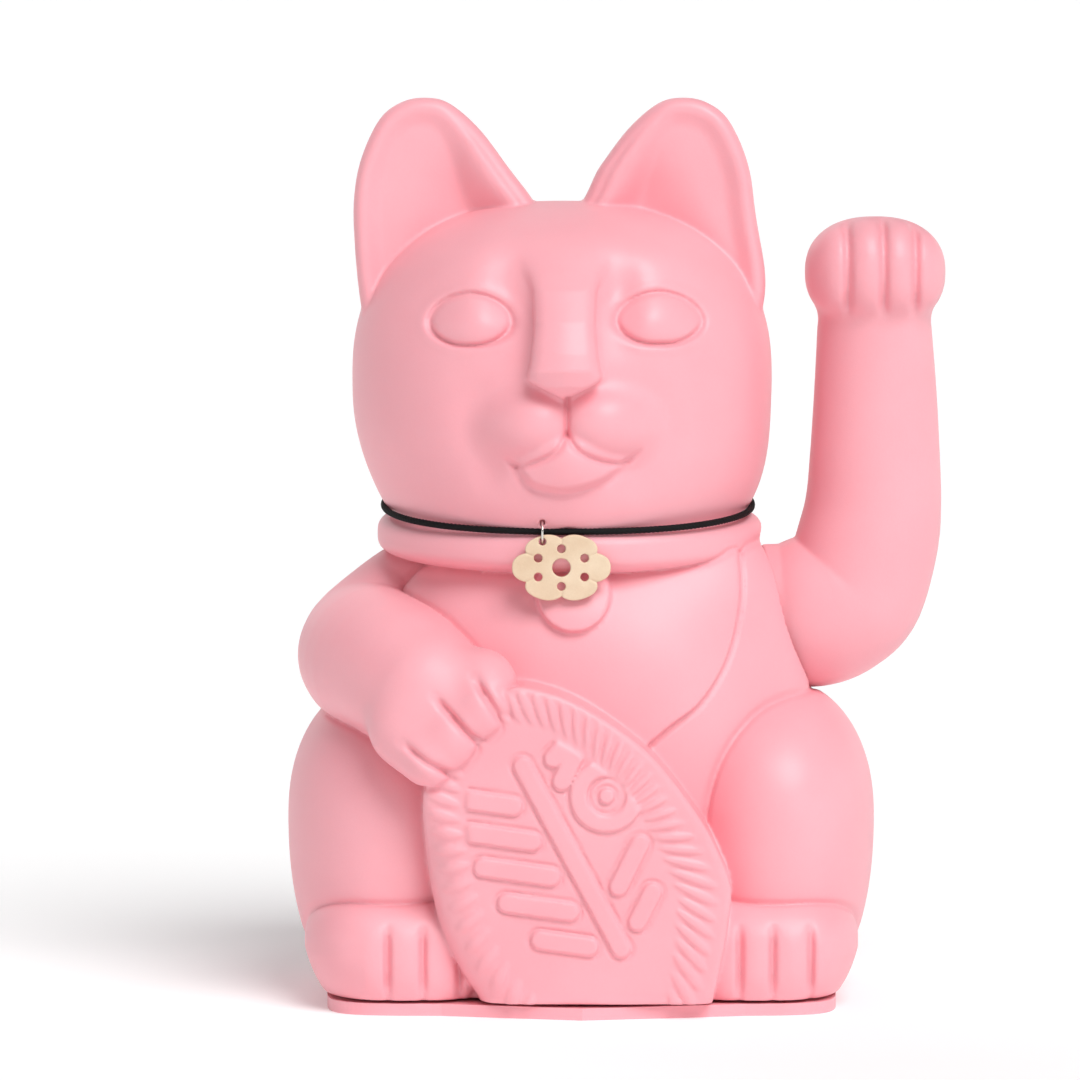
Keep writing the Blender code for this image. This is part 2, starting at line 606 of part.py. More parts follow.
# the door's way, open at the rear edge of the plate, with a groove down each side
boolean(plate, box((DOOR[0] - 0.3, DOOR[2] - 0.3, -1.0), (DOOR[1] + 0.3, 60.0, PLATE_T + 0.3)))
boolean(plate, box((DOOR[0] - 1.6, DOOR[2] - 0.3, 0.6), (DOOR[1] + 1.6, 60.0, 1.55)))
for bx, by in SCREWS:
    boolean(plate, rod((bx, by, PLATE_T - 0.5), (bx, by, 3.6), 4.2, seg=20), "UNION")
    boolean(plate, rod((bx, by, -1.0), (bx, by, PLATE_T + 0.1), 2.9, seg=20))
    boolean(plate, rod((bx, by, -1.0), (bx, by, 6.0), 1.5, seg=12))
for x, y in FRAME_SCREWS:
    boolean(plate, rod((x, y, -1.0), (x, y, 6.0), 0.9, seg=12))
for y in (-6.0, 10.0):
    boolean(plate, rod((-30.0, y, PLATE_T - 0.5), (-30.0, y, 4.7), 1.8, seg=12), "UNION")
boolean(plate, box((11.0, 22.2, -1.0), (21.0, 26.2, 5.0)))
tidy(plate)
finish(plate, PINK)

door = flat("battery_door", outline(96, 0.2), 0.25, PLATE_T - 0.2)
boolean(door, box((DOOR[0], DOOR[2], -3.0), (DOOR[1], 60.0, 6.0)), "INTERSECT")
tongue = box((DOOR[0] - 1.2, DOOR[2], 0.85), (DOOR[1] + 1.2, 31.0, 1.3))
boolean(door, tongue, "UNION")
for k in range(4):
    y = 24.0 + 2.0 * k
    boolean(door, box((cx - 5.0, y, -1.0), (cx + 5.0, y + 0.9, 0.65)))
tidy(door)
finish(door, PINK, origin=(cx, 5.0, 1.0))

cell = turned("aa_cell", ((0, 24.65), (2.6, 24.65), (2.6, 23.4), (CELL_R - 0.4, 23.4), (CELL_R, 22.9),
                          (CELL_R, -24.2), (CELL_R - 0.5, -24.65), (0, -24.65)), (0, 0, 0), "Z", 28)
cell.data.transform(Matrix.Translation(v((cx, (CELL_Y[0] + CELL_Y[1]) / 2, cz)))
                    @ Matrix.Rotation(math.radians(90), 4, "X"))
finish(cell, CELLM)
contact = box((cx - 4.5, -21.9, 4.2), (cx + 4.5, -21.4, 15.6), "contact_plate")
boolean(contact, box((cx - 1.5, -21.9, 15.0), (cx + 1.5, -21.4, 20.4)), "UNION")
finish(contact, NICKEL, smooth=False)
N = 26
coil = []
for i in range(N):
    a = i * 2 * math.pi / 10
    r = 2.6 + 2.0 * i / (N - 1)
    coil.append((cx + r * math.cos(a), 28.75 + 0.62 * i / (N - 1), cz + r * math.sin(a)))
spring = tube("contact_spring", coil, 0.25, res=1)
finish(spring, NICKEL)

# ------------------------------------------------------------- circuit, switch
board = box((-36.2, -9.6, 5.0), (-23.6, 13.8, 6.4), "circuit_board")
finish(board, GREEN, smooth=False)
chip = box((-33.2, -4.0, 6.7), (-28.2, 1.0, 8.3), "driver_chip", bevel=0.15)
finish(chip, BLACK, smooth=False)
cap = turned("capacitor", ((0, 3.5), (2.2, 3.5), (2.5, 3.2), (2.5, -3.5), (0, -3.5)), (-29.5, 8.6, 10.2), "Z", 20)
finish(cap, BLACK)
sw = box((9.6, 21.0, 2.95), (22.4, 27.4, 7.0), "switch_body", bevel=0.3)
finish(sw, BLACK, smooth=False)
knob = box((11.6, 22.6, 0.35), (16.0, 25.8, 2.6), "switch_knob", bevel=0.35)
finish(knob, WHITE, smooth=False, origin=(13.8, 24.2, 1.5))


def lead(name, pts, mat, n=12, r=0.5):
    finish(tube(name, spline(pts, n), r, res=1), mat)


lead("lead_red", ((cx, -20.9, 19.6), (cx - 3, -16, 20.6), (-21, -10, 20.2), (-25.6, -8.0, 16.5), (-27.6, -7.0, 11.0),
                  (-28.0, -6.8, 7.0)), RED)
lead("lead_black", ((cx, 28.6, 18.8), (cx - 2, 24, 20.4), (-21, 17, 20.2), (-25.6, 13.0, 16.5), (-27.6, 12.0, 11.0),
                    (-28.0, 11.8, 7.0)), BLACK)
lead("lead_coil", ((-26.6, 2.0, 7.0), (-26.0, 2.4, 15.0), (-21, 2, 19.8), (-10, 1, 19.6), (-2, 0.5, 17.6),
                   (0.8, -2.4, 9.0), (4.0, -6.2, 6.0), (8.6, -5.2, 5.6)), COPPER, 18, 0.35)

# -------------------------------------------------------------------- fixings
for i, (bx, by) in enumerate(SCREWS, 1):
    s = turned("base_screw_%d" % i, ((0, 13.0), (0.3, 13.0), (1.1, 11.6), (1.1, 1.85), (2.2, 1.85), (2.55, 1.5),
                                     (2.55, 0.45), (0, 0.45)), (bx, by, 0), "Z", 16)
    boolean(s, box((bx - 1.6, by - 0.3, 0.0), (bx + 1.6, by + 0.3, 1.1)))
    boolean(s, box((bx - 0.3, by - 1.6, 0.0), (bx + 0.3, by + 1.6, 1.1)))
    finish(s, STEEL)
for nm, (x, y) in zip(("frame_screw_front", "frame_screw_rear"), FRAME_SCREWS):
    s = turned(nm, ((0, 6.1), (1.9, 6.1), (2.3, 5.6), (2.3, 4.65), (0.6, 4.65), (0.6, 0.4), (0, 0.4)),
               (x, y, 0), "Z", 16)
    boolean(s, box((x - 1.4, y - 0.25, 5.5), (x + 1.4, y + 0.25, 7.0)))
    finish(s, STEEL)

# ------------------------------------------------------------ cord and pendant
finish(tube("neck_cord", cord_line(38, 0.058), CORD_R, res=1), CORD)
knot = join([ell(KNOT, (1.35, 1.2, 1.25), u=12, w=8)])
knot.name = "cord_knot"
finish(knot, CORD)
ring = tube("pendant_ring", ring_line(), 0.2, cyclic=True, res=1)
finish(ring, NICKEL, origin=RING)


def petals(n=48):
    """Six round petals on a slightly wide flower, with the eye at the top."""
    out = []
    for i in range(n):
        t = 2 * math.pi * i / n
        r = 1.0 - 0.15 * (1 - abs(math.cos(3 * t))) ** 1.4
        out.append((8.1 * r * math.cos(t), 5.75 * r * math.sin(t)))
    return out


# the eye at the top left takes the ring; round holes make a plain blossom
holes = [(0, 0, 1.5, 16), (RING[0] - PENDANT[0], 77.93 - PENDANT[2], 0.68, 12)]
for k in range(6):
    a = math.radians(60 * k + 30)
    holes.append((4.4 * math.cos(a), 3.1 * math.sin(a), 0.7, 10))
flower = flat("flower_pendant", petals(60), -0.4, 0.4, holes)
flower.data.transform(Matrix.Translation(v(PENDANT)) @ Matrix.Rotation(math.radians(90), 4, "X"))
finish(flower, CREAM, origin=RING)
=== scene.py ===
"""Looks for the beckoning cat: fine moulded shells, cord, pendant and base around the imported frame."""

import json
import math

import bmesh
import bpy
import numpy as np
import openvdb
from mathutils import Matrix, Vector


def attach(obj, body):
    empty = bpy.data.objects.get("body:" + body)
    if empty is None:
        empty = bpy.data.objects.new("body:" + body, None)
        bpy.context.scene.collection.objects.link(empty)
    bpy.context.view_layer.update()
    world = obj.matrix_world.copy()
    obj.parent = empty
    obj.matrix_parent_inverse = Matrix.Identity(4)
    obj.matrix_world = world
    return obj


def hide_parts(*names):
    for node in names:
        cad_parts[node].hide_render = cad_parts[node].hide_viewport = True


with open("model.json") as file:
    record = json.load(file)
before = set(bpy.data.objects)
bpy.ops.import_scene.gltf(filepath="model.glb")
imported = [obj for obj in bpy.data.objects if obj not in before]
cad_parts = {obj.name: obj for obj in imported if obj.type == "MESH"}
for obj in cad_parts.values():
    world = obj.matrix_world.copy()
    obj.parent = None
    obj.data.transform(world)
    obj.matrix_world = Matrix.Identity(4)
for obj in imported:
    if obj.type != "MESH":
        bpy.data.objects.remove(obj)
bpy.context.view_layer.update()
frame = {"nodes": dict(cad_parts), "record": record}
MM = 0.001
STEP = 0.5          # grid of the fine shells, mm
SEAM_Y = 2.0
SHELL_Z = 2.5
HEAD_X = -3.2
PIV = (2.0, 64.5)                     # Y and Z of the arm's axis, mm
rng = np.random.default_rng(7)


# ------------------------------------------------------------ distance fields
def ell(p, c, r, n=2.0, m=None, shear=0.0):
    """Super-ellipsoid, exponent n in height and m in plan; r may hold a fourth, upper half size."""
    m = m or n
    y0 = p[1] - c[1]
    z0 = p[2] - c[2] - (shear * y0 if shear else 0.0)
    rz = r[2] if len(r) < 4 else np.where(z0 > 0, r[3], r[2])
    ax, ay, az = np.abs(p[0] - c[0]) / r[0], np.abs(y0) / r[1], np.abs(z0) / rz
    A = np.maximum((ax ** m + ay ** m) ** (1.0 / m), 1e-4)
    G = np.maximum((A ** n + az ** n) ** (1.0 / n), 1e-4)
    gx = (ax / A) ** (m - 1) / r[0]
    gy = (ay / A) ** (m - 1) / r[1]
    q = np.sqrt((A / G) ** (2 * n - 2) * (gx * gx + gy * gy) + ((az / G) ** (n - 1) / rz) ** 2)
    return (G - 1.0) / np.maximum(q, 1e-4)


def cap(p, a, ra, b, rb):
    """Round cone from a to b."""
    d = [float(b[i] - a[i]) for i in range(3)]
    l2 = d[0] ** 2 + d[1] ** 2 + d[2] ** 2
    x, y, z = p[0] - a[0], p[1] - a[1], p[2] - a[2]
    t = (x * d[0] + y * d[1] + z * d[2]) / l2
    length = math.sqrt(l2)
    s = max(-0.9, min(0.9, (rb - ra) / length))
    w = np.sqrt(np.maximum((x - t * d[0]) ** 2 + (y - t * d[1]) ** 2 + (z - t * d[2]) ** 2, 0))
    # slide the foot point so that the cone touches both balls
    t = np.clip(t + w / length * s / math.sqrt(1 - s * s), 0, 1)
    return np.sqrt((x - t * d[0]) ** 2 + (y - t * d[1]) ** 2 + (z - t * d[2]) ** 2) - (ra + (rb - ra) * t)


def chain(p, line):
    """A limb of changing radius along a smooth line of (x, y, z, r)."""
    out = None
    for a, b in zip(line, line[1:]):
        d = cap(p, a[:3], a[3], b[:3], b[3])
        out = d if out is None else np.minimum(out, d)
    return out


def smin(a, b, k):
    h = np.maximum(k - np.abs(a - b), 0.0) / k
    return np.minimum(a, b) - h * h * k * 0.25


def smax(a, b, k):
    return -smin(-a, -b, k)


def sstep(a, b, x):
    t = np.clip((x - a) / (b - a), 0.0, 1.0)
    return t * t * (3 - 2 * t)


def seg2(x, z, a, b):
    """Distance in a plane to a segment."""
    dx, dz = b[0] - a[0], b[1] - a[1]
    t = np.clip(((x - a[0]) * dx + (z - a[1]) * dz) / (dx * dx + dz * dz), 0, 1)
    return np.hypot(x - a[0] - t * dx, z - a[1] - t * dz)


def line2(x, z, pts):
    d = seg2(x, z, pts[0], pts[1])
    for a, b in zip(pts[1:], pts[2:]):
        d = np.minimum(d, seg2(x, z, a, b))
    return d


def poly2(x, z, pts):
    """Signed distance in a plane to a closed outline, negative inside."""
    d = line2(x, z, list(pts) + [pts[0]])
    inside = np.zeros(x.shape, bool)
    n = len(pts)
    for i in range(n):
        (x0, z0), (x1, z1) = pts[i], pts[(i + 1) % n]
        if z0 == z1:
            continue
        c = ((z0 > z) != (z1 > z)) & (x < (x1 - x0) * (z - z0) / (z1 - z0) + x0)
        inside ^= c
    return np.where(inside, -d, d)


class Plan:
    """A flat outline's signed distance, read from a fine table."""

    def __init__(self, pts, lo, hi, step=0.15):
        self.lo, self.step = lo, step
        nx, nz = int((hi[0] - lo[0]) / step) + 1, int((hi[1] - lo[1]) / step) + 1
        gx, gz = np.meshgrid(lo[0] + np.arange(nx) * step, lo[1] + np.arange(nz) * step, indexing="ij")
        self.t = (pts(gx, gz) if callable(pts) else poly2(gx, gz, pts)).astype(np.float32)

    def __call__(self, x, z):
        fx = np.clip((x - self.lo[0]) / self.step, 0, self.t.shape[0] - 1.001)
        fz = np.clip((z - self.lo[1]) / self.step, 0, self.t.shape[1] - 1.001)
        i, j = fx.astype(np.int32), fz.astype(np.int32)
        u, v = fx - i, fz - j
        t = self.t
        return (t[i, j] * (1 - u) + t[i + 1, j] * u) * (1 - v) + (t[i, j + 1] * (1 - u) + t[i + 1, j + 1] * u) * v


def smooth_line(pts, n):
    """Catmull-Rom line through 2D, 3D or 4D points."""
    P = [np.array(q, float) for q in pts]
    P = [2 * P[0] - P[1]] + P + [2 * P[-1] - P[-2]]
    out = []
    for i in range(n):
        t = i / (n - 1) * (len(P) - 3)
        k = min(int(t), len(P) - 4)
        t -= k
        a, b, c, d = P[k:k + 4]
        out.append(tuple(float(w) for w in 0.5 * (2 * b + (c - a) * t + (2 * a - 5 * b + 4 * c - d) * t * t
                                                  + (3 * b - a - 3 * c + d) * t ** 3)))
    return out


def crease(a, b, k, depth, width=0.55):
    """Join two masses and score the line where they meet."""
    return smin(a, b, k) + depth * np.exp(-((a - b) / width) ** 2)


def groove(d, depth, width):
    return depth * np.exp(-(d / width) ** 2)


def gauss(x, z, cx, cz, sx, sz):
    return np.exp(-((x - cx) / sx) ** 2 - ((z - cz) / sz) ** 2)


def only(p, mask, fn, far=30.0):
    """Evaluate a feature only where it can matter."""
    out = np.full(p[0].shape, far, np.float32)
    if mask.any():
        out[mask] = fn(tuple(k[mask] for k in p))
    return out


# --------------------------------------------------------------------- head
def nose(p):
    x, y, z = p[0] + 2.9, p[1], p[2]
    ax = np.abs(x)
    # half width of the bridge: wide at the brow, narrow between the eyes, wide at the nostrils
    w = np.interp(z, [100, 104.5, 108, 113.5, 119, 123, 127], [6.4, 6.2, 5.45, 4.9, 5.2, 6.6, 9.4]).astype(np.float32)
    front = np.interp(z, [98, 101.5, 103.6, 106.2, 109, 114, 119, 122, 124, 126, 130],
                      [-31.6, -33.4, -35.4, -36.4, -35.6, -33.0, -29.2, -26.2, -23.9, -21.2, -14.0]).astype(np.float32)
    front = front + 0.045 * ax ** 2
    d = smax(ax - w, front - y, 2.0)
    d = smax(d, (101.4 + 0.52 * ax) - z, 0.9)
    d = smax(d, z - 131, 4.0)
    return smax(d, y + 14, 2.0) * 0.9


def muzzle(p):
    lobe = smin(ell(p, (-7.5, -25.4, 97.2), (7.0, 8.2, 6.4), 2.1), ell(p, (-11.4, -22.4, 96.6), (7.4, 7.2, 6.8), 2.0), 5.0)
    lobe2 = smin(ell(p, (2.6, -25.4, 97.2), (7.0, 8.2, 6.4), 2.1), ell(p, (6.5, -22.4, 96.8), (7.4, 7.2, 6.8), 2.0), 5.0)
    d = smin(lobe, lobe2, 0.5)
    chin = smin(ell(p, (-2.4, -24.0, 89.8), (9.2, 7.8, 4.9), 2.2), ell(p, (-2.4, -25.0, 92.5), (5.2, 7.4, 3.4), 2.0), 2.0)
    return d, chin


EAR_LINE = smooth_line([(33.0, 112.0), (33.9, 117.7), (34.6, 125.0), (34.8, 133.0), (33.6, 139.9), (30.6, 146.4),
                        (27.0, 149.3), (22.9, 150.1), (18.8, 149.1), (13.8, 144.8), (8.7, 138.0), (4.9, 132.9),
                        (2.0, 127.0)], 70) + [(6.0, 114.0), (18.0, 106.0), (30.0, 106.0)]
EAR_PLAN = Plan(EAR_LINE, (-12.0, 96.0), (50.0, 160.0))


def ear(p, side):
    x, z = (p[0] - HEAD_X) * side, p[2]
    if side > 0:
        # the ear on the arm's side leans in
        x = x + 2.8 * sstep(117.0, 134.0, z) * (1 - 0.5 * sstep(14.0, 6.0, x) * sstep(139.0, 133.0, z))
    d2 = EAR_PLAN(x, z)
    up = np.clip((z - 118) / 30.0, 0, 1)
    back = 9.0 - 5.0 * up
    front = -7.0 + 2.9 * up
    s = -d2
    inner = sstep(27.0, 14.0, x + 0.35 * (z - 133))
    # thick soft rim on top and on the inner side, thin on the outer side
    rim = 0.7 + 1.9 * inner
    deep = 1.3 + 3.4 * inner * sstep(148, 132, z) + 0.5 * sstep(146, 134, z)
    bowl = sstep(rim, rim + 4.4 + 3.0 * inner, s)
    # a fine step where the rim turns back to the edge of the ear
    lip = 0.35 * np.exp(-((s - 1.5) / 0.55) ** 2) * inner
    f = (front + deep * bowl + lip) - p[1]
    r = 2.6 + 0.6 * inner
    q1 = d2 + r
    q2 = np.maximum(f, p[1] - back) + r
    d = np.minimum(np.maximum(q1, q2), 0) + np.hypot(np.maximum(q1, 0), np.maximum(q2, 0)) - r
    return d * 0.8


EYES = ((-18.3, 114.1, 6.75, 4.15, 0.02), (12.7, 114.3, 7.05, 4.15, -0.03))


def eye_metric(x, z, e):
    cx, cz, a, b, t = e
    u = (x - cx) * math.cos(t) + (z - cz) * math.sin(t)
    v = -(x - cx) * math.sin(t) + (z - cz) * math.cos(t)
    # slightly pointed corners that sit a little low
    v = v + 0.06 * np.abs(u)
    bb = np.where(v > 0, b * 1.04, b * 0.98)
    g = (np.abs(u / a) ** 2.0 + np.abs(v / bb) ** 1.85) ** 0.5
    return g, u, v


CHIN = smooth_line([(-10.7, 91.0), (-10.2, 89.4), (-8.4, 87.3), (-5.6, 86.4), (-2.9, 86.1), (0.8, 86.9), (4.1, 88.3),
                    (6.2, 90.0), (7.2, 91.8)], 40)
CHIN_PLAN = Plan(CHIN + [(3.0, 93.6), (-2.5, 96.2), (-7.5, 93.6)], (-20.0, 78.0), (16.0, 104.0), 0.15)
MOUTH_L = smooth_line([(-2.5, 95.6), (-4.3, 92.9), (-7.4, 91.2), (-10.6, 90.3), (-12.4, 91.2)], 30)
MOUTH_R = smooth_line([(-2.5, 95.6), (-0.6, 93.0), (3.0, 91.3), (6.8, 90.9), (9.5, 92.6)], 30)


def skull(p):
    cx = HEAD_X + 0.9 * sstep(100.0, 82.0, p[2])
    d = ell(p, (cx, 1.5, 103.5), (35.2, 31.5, 36.5, 29.3), 2.4, 2.1)
    return smin(d, ell(p, (HEAD_X, -6.0, 88.0), (26.0, 24.2, 16.0), 2.2, 2.0), 4.0)


def face(p):
    """The skull with all that is moulded on its front."""
    d = skull(p)
    x, y, z = p
    f = sstep(-8, -16, y)
    for s in (-1, 1):
        cx = HEAD_X + 0.3
        # sockets beside the nose, brow, hollow beside the muzzle, cheeks
        d = d + f * 2.6 * gauss(x, z, cx + s * 8.6, 116.6, 4.1, 7.4)
        d = d + f * 0.8 * gauss(x, z, cx + s * 19.0, 115.5, 8.0, 5.5)
        d = d - f * 0.5 * gauss(x, z, cx + s * 13.0, 124.6, 10.0, 4.0)
        d = d + f * 1.0 * gauss(x, z, cx + s * 13.5, 98.5, 4.6, 6.6)
        d = d + f * 0.7 * gauss(x, z, cx + s * 11.5, 89.0, 3.2, 3.4)
        d = d - f * 0.6 * gauss(x, z, cx + s * 21.0, 100.0, 9.0, 8.0)
    n = nose(p)
    lob, chin = muzzle(p)
    d = smin(d, chin, 0.9)
    c2 = CHIN_PLAN(x, z)
    d = d - f * (1.2 * sstep(0.45, -1.1, c2) - 0.35 * np.exp(-((c2 - 0.55) / 0.6) ** 2) * sstep(91.5, 89.5, z))
    d = smin(d, lob, 1.9)
    d = smin(d, n, 1.1)
    # line between the lobes, and the mouth
    m = f * sstep(-24, -28, y)
    d = d + m * groove(seg2(x, z, (-2.45, 101.6), (-2.5, 95.3)), 0.55, 0.4)
    fade = sstep(-13.5, -10.5, x) * sstep(10.5, 7.5, x)
    d = d + m * groove(np.minimum(line2(x, z, MOUTH_L), line2(x, z, MOUTH_R)), 0.75, 0.5) * fade
    # eyes: a soft raised lens in an engraved outline
    for e in EYES:
        g, u, v = eye_metric(x, z, e)
        near = sstep(-12, -16, y)
        bulge = np.where(g < 1, (1 - g * g) * 1.45, 0.0)
        ring = (g - 1.0) * 4.6
        low = 0.8 + 0.5 * sstep(1.5, -2.5, v)
        d = d - near * bulge + near * 0.72 * low * np.exp(-(ring / 0.42) ** 2)
        d = d - near * 0.20 * np.exp(-((ring - 1.0) / 0.8) ** 2)
    return d


def head(p):
    e2 = smin(ear(p, 1), ear(p, -1), 0.5)
    d = skull(p)
    m = (p[1] < -7) & (d < 8)
    if m.any():
        d[m] = face(tuple(k[m] for k in p))
    return smin(d, e2, 0.5)


# -------------------------------------------------------------------- torso
COIN_C = (-0.5, -27.0, 29.5)
LEAN = math.radians(28.0)
COIN_LINE = smooth_line([(-20.8, -6.0), (-16.5, 1.0), (-19.9, 7.5), (-22.9, 14.0), (-24.6, 20.8), (-25.6, 28.2),
                         (-26.0, 36.5), (-24.6, 44.0), (-21.0, 50.2), (-16.5, 54.0), (-11.0, 55.2), (-5.75, 54.3),
                         (-1.25, 52.6), (4.0, 49.5), (10.6, 44.4), (16.0, 38.0), (20.5, 31.2), (23.6, 24.6)], 90)
COIN_LINE = COIN_LINE[1:] + [(24.4, 21.6), (24.3, 19.0), (23.4, 12.0), (22.2, 6.0), (21.0, 1.0), (20.0, -6.0), (-10.0, -8.0)]
COIN_LINE = [q for q in COIN_LINE if q[1] > 0.5 or q[0] > -12] + [(-12.2, -8.0), (-14.6, 0.4)]
COIN_PLAN = Plan(COIN_LINE, (-44.0, -12.0), (44.0, 72.0))


def bar(u, v, a, b, r):
    return seg2(u, v, a, b) - r


def ornament(u, v):
    """A plain leaf: a stem with rounded bars to each side, a ring and a dot."""
    d = bar(u, v, (0.0, -18.6), (0.0, 15.8), 1.45)
    for i in range(5):
        v0 = -15.8 + 6.6 * i
        for s in (-1, 1):
            length = (8.0, 10.4, 11.2, 10.0, 7.2)[i] - (2.6 if s > 0 else 0.0)
            if s > 0 and i in (2, 3):
                continue
            a = math.radians(36)
            p0 = (s * 4.5, v0)
            p1 = (s * (4.5 + length * math.cos(a)), v0 + length * math.sin(a))
            d = np.minimum(d, bar(u, v, p0, p1, 1.5))
    d = np.minimum(d, np.abs(np.hypot(u - 9.8, v - 5.0) - 4.6) - 1.35)
    d = np.minimum(d, np.hypot(u - 9.8, v - 5.0) - 1.2)
    return np.minimum(d, bar(u, v, (5.0, 14.6), (10.6, 16.6), 1.45))


ORNAMENT = Plan(ornament, (-24.0, -28.0), (24.0, 28.0), 0.12)


def coin(p):
    x, y, z = p
    d2 = COIN_PLAN(x, z)
    u = (x - COIN_C[0]) * math.cos(LEAN) + (z - COIN_C[2]) * math.sin(LEAN)
    v = -(x - COIN_C[0]) * math.sin(LEAN) + (z - COIN_C[2]) * math.cos(LEAN)
    w = -(y - COIN_C[1]) - (z - COIN_C[2]) * math.tan(math.radians(4.5))
    a, b = 22.6, 30.5
    rr = np.sqrt((u / a) ** 2 + (v / b) ** 2)
    face_w = 12.2 + 0.9 * (1 - np.clip(rr * rr, 0, 1))
    r = 1.1 + 4.6 * sstep(2.0, -10.0, u + 0.25 * v) * sstep(20, 8, v)
    q1, q2 = d2 + r, w - face_w + r
    d = np.minimum(np.maximum(q1, q2), 0) + np.hypot(np.maximum(q1, 0), np.maximum(q2, 0)) - r
    inside = -d2
    # lens-shaped flutes in a row inside the rim, longer low down on the arm's side
    theta = np.arctan2(v / b, u / a)
    turn = theta * 58 / (2 * math.pi)
    arc = (turn - np.round(turn)) * 2 * math.pi / 58 * np.sqrt((a * np.sin(theta)) ** 2 + (b * np.cos(theta)) ** 2)
    lower = sstep(2, -14, v) * sstep(0, 10, u)
    centre = 3.3 + 1.7 * sstep(20, -5, v) + 0.5 * lower
    half = 2.75 + 0.8 * lower
    lens = 1 - (arc / 1.2) ** 2 - ((inside - centre) / half) ** 2
    on = sstep(4.0, 8.0, w)
    d = d - on * 0.58 * np.maximum(lens, 0.0) ** 0.75
    dip = np.exp(-((inside - centre) / half) ** 4)
    d = d + on * 0.12 * dip
    o = ORNAMENT(u + 2.2, v + 0.2)
    flat = sstep(6.4, 7.6, inside)
    d = d - on * flat * (0.55 * sstep(0.22, -0.22, o) - 0.34 * np.exp(-((o - 0.40) / 0.30) ** 2))
    return d * 0.85


BIB = [(25.9, 76), (26.1, 67.6), (24.0, 58.5), (19.6, 51.4), (14.2, 47.3), (9.0, 43.0), (0, 38), (-20, 40),
       (-29, 58), (-31, 76)]
BIB_PLAN = Plan(smooth_line(BIB[:6], 40) + BIB[6:], (-52.0, 20.0), (52.0, 90.0), 0.2)


def trunk(p):
    """The body without paws, coin and bib."""
    d = ell(p, (0, 3, 40), (37, 33, 42), 2.4)
    d = smin(d, ell(p, (0, 8, 32), (40, 32, 38), 2.4), 6.0)
    d = smin(d, ell(p, (0, 3, 8), (42, 34, 18), 3.0), 4.0)
    d = smin(d, ell(p, (14.0, 3, 61.5), (21.4, 24.0, 18.0), 2.6, 2.4), 4.0)
    d = smin(d, ell(p, (-13.0, 6, 58.0), (22.0, 22.0, 16.0), 2.6, 2.4), 4.0)
    # the side that the raised arm comes out of leans outwards lower down
    q = (p[0] + 0.219 * (p[2] - 56.0), p[1], p[2])
    return smin(d, ell(q, (16.0, 0.5, 56.0), (21.5, 19.0, 26.0), 3.2, 3.0), 3.0)


def foot(p, s):
    """A foot whose outer side draws in towards the base."""
    cx = s * (31.2 - 0.25 * np.maximum(9.5 - p[2], 0.0))
    half = np.where((p[0] - cx) * s < 0, 18.6, 14.9)
    return ell(p, (cx, -13, 10.5), (half, 21.5, 14.5, 10.5), 2.6)


def torso(p):
    x, y, z = p
    d = trunk(p)
    b = BIB_PLAN(x, z)
    d = d - (1.3 * sstep(0.26, -0.26, b) - 0.42 * np.exp(-((b - 0.5) / 0.45) ** 2)) * sstep(-6, -12, y)
    # disc of the bell, half behind the pendant
    bell = np.hypot(x + 1.4, z - 69.1)
    d = d - sstep(-10, -16, y) * (1.6 * sstep(0.4, -0.4, bell - 6.1) + 0.5 * np.clip(1 - (bell / 6.1) ** 2, 0, 1))
    col = ell(p, (-1.9, 1, 77.2), (32.3, 29.5, 5.0), 3.4, 2.05, 0.045)
    d = crease(d, col, 0.5, 0.4)
    for s in (-1, 1):
        d = crease(d, ell(p, (s * 31.5, -2, 30), (17.7, 29.5, 34.0, 22.9), 2.2), 0.6, 0.45, 0.7)
    for s in (-1, 1):
        f = foot(p, s)
        d = crease(d, toes(f, p, s), 0.4, 0.45)
    d = smin(d, only(p, (y < -9) & (z < 60), coin, 20.0), 0.5)
    return crease(d, only(p, (x < 2) & (z > 26), left_arm, 20.0), 0.5, 0.4)


def toes(f, p, s):
    x, y, z = p
    xs = (-31.9, -26.1, -20.2) if s < 0 else (25.9, 31.3, 37.6)
    m = sstep(-22, -27, y) * sstep(16.0, 11.5, z) * (0.3 + 0.7 * sstep(2.5, 6.5, z))
    for c in xs:
        f = f + m * groove(x - c, 1.35, 0.62)
    mid = [(xs[0] + xs[1]) / 2, (xs[1] + xs[2]) / 2, xs[0] - 3.0, xs[2] + 3.0]
    for c in mid:
        f = f - m * 0.35 * np.exp(-((x - c) / 1.9) ** 2)
    return f


UPPER = smooth_line([(-26.4, 3.0, 65.5, 11.0), (-30.4, 1.5, 62.0, 11.6), (-35.1, -4.0, 57.8, 12.0),
                     (-34.2, -13.0, 57.0, 12.1), (-30.0, -21.5, 55.6, 11.8), (-25.2, -29.0, 52.6, 11.0)], 18)


TOE_LINES = (((-29.3, 45.9), (-25.2, 42.9), (-21.8, 41.1)), ((-24.1, 53.5), (-18.8, 47.8), (-15.7, 45.3)),
             ((-17.7, 56.7), (-13.6, 50.4), (-12.1, 48.9)))


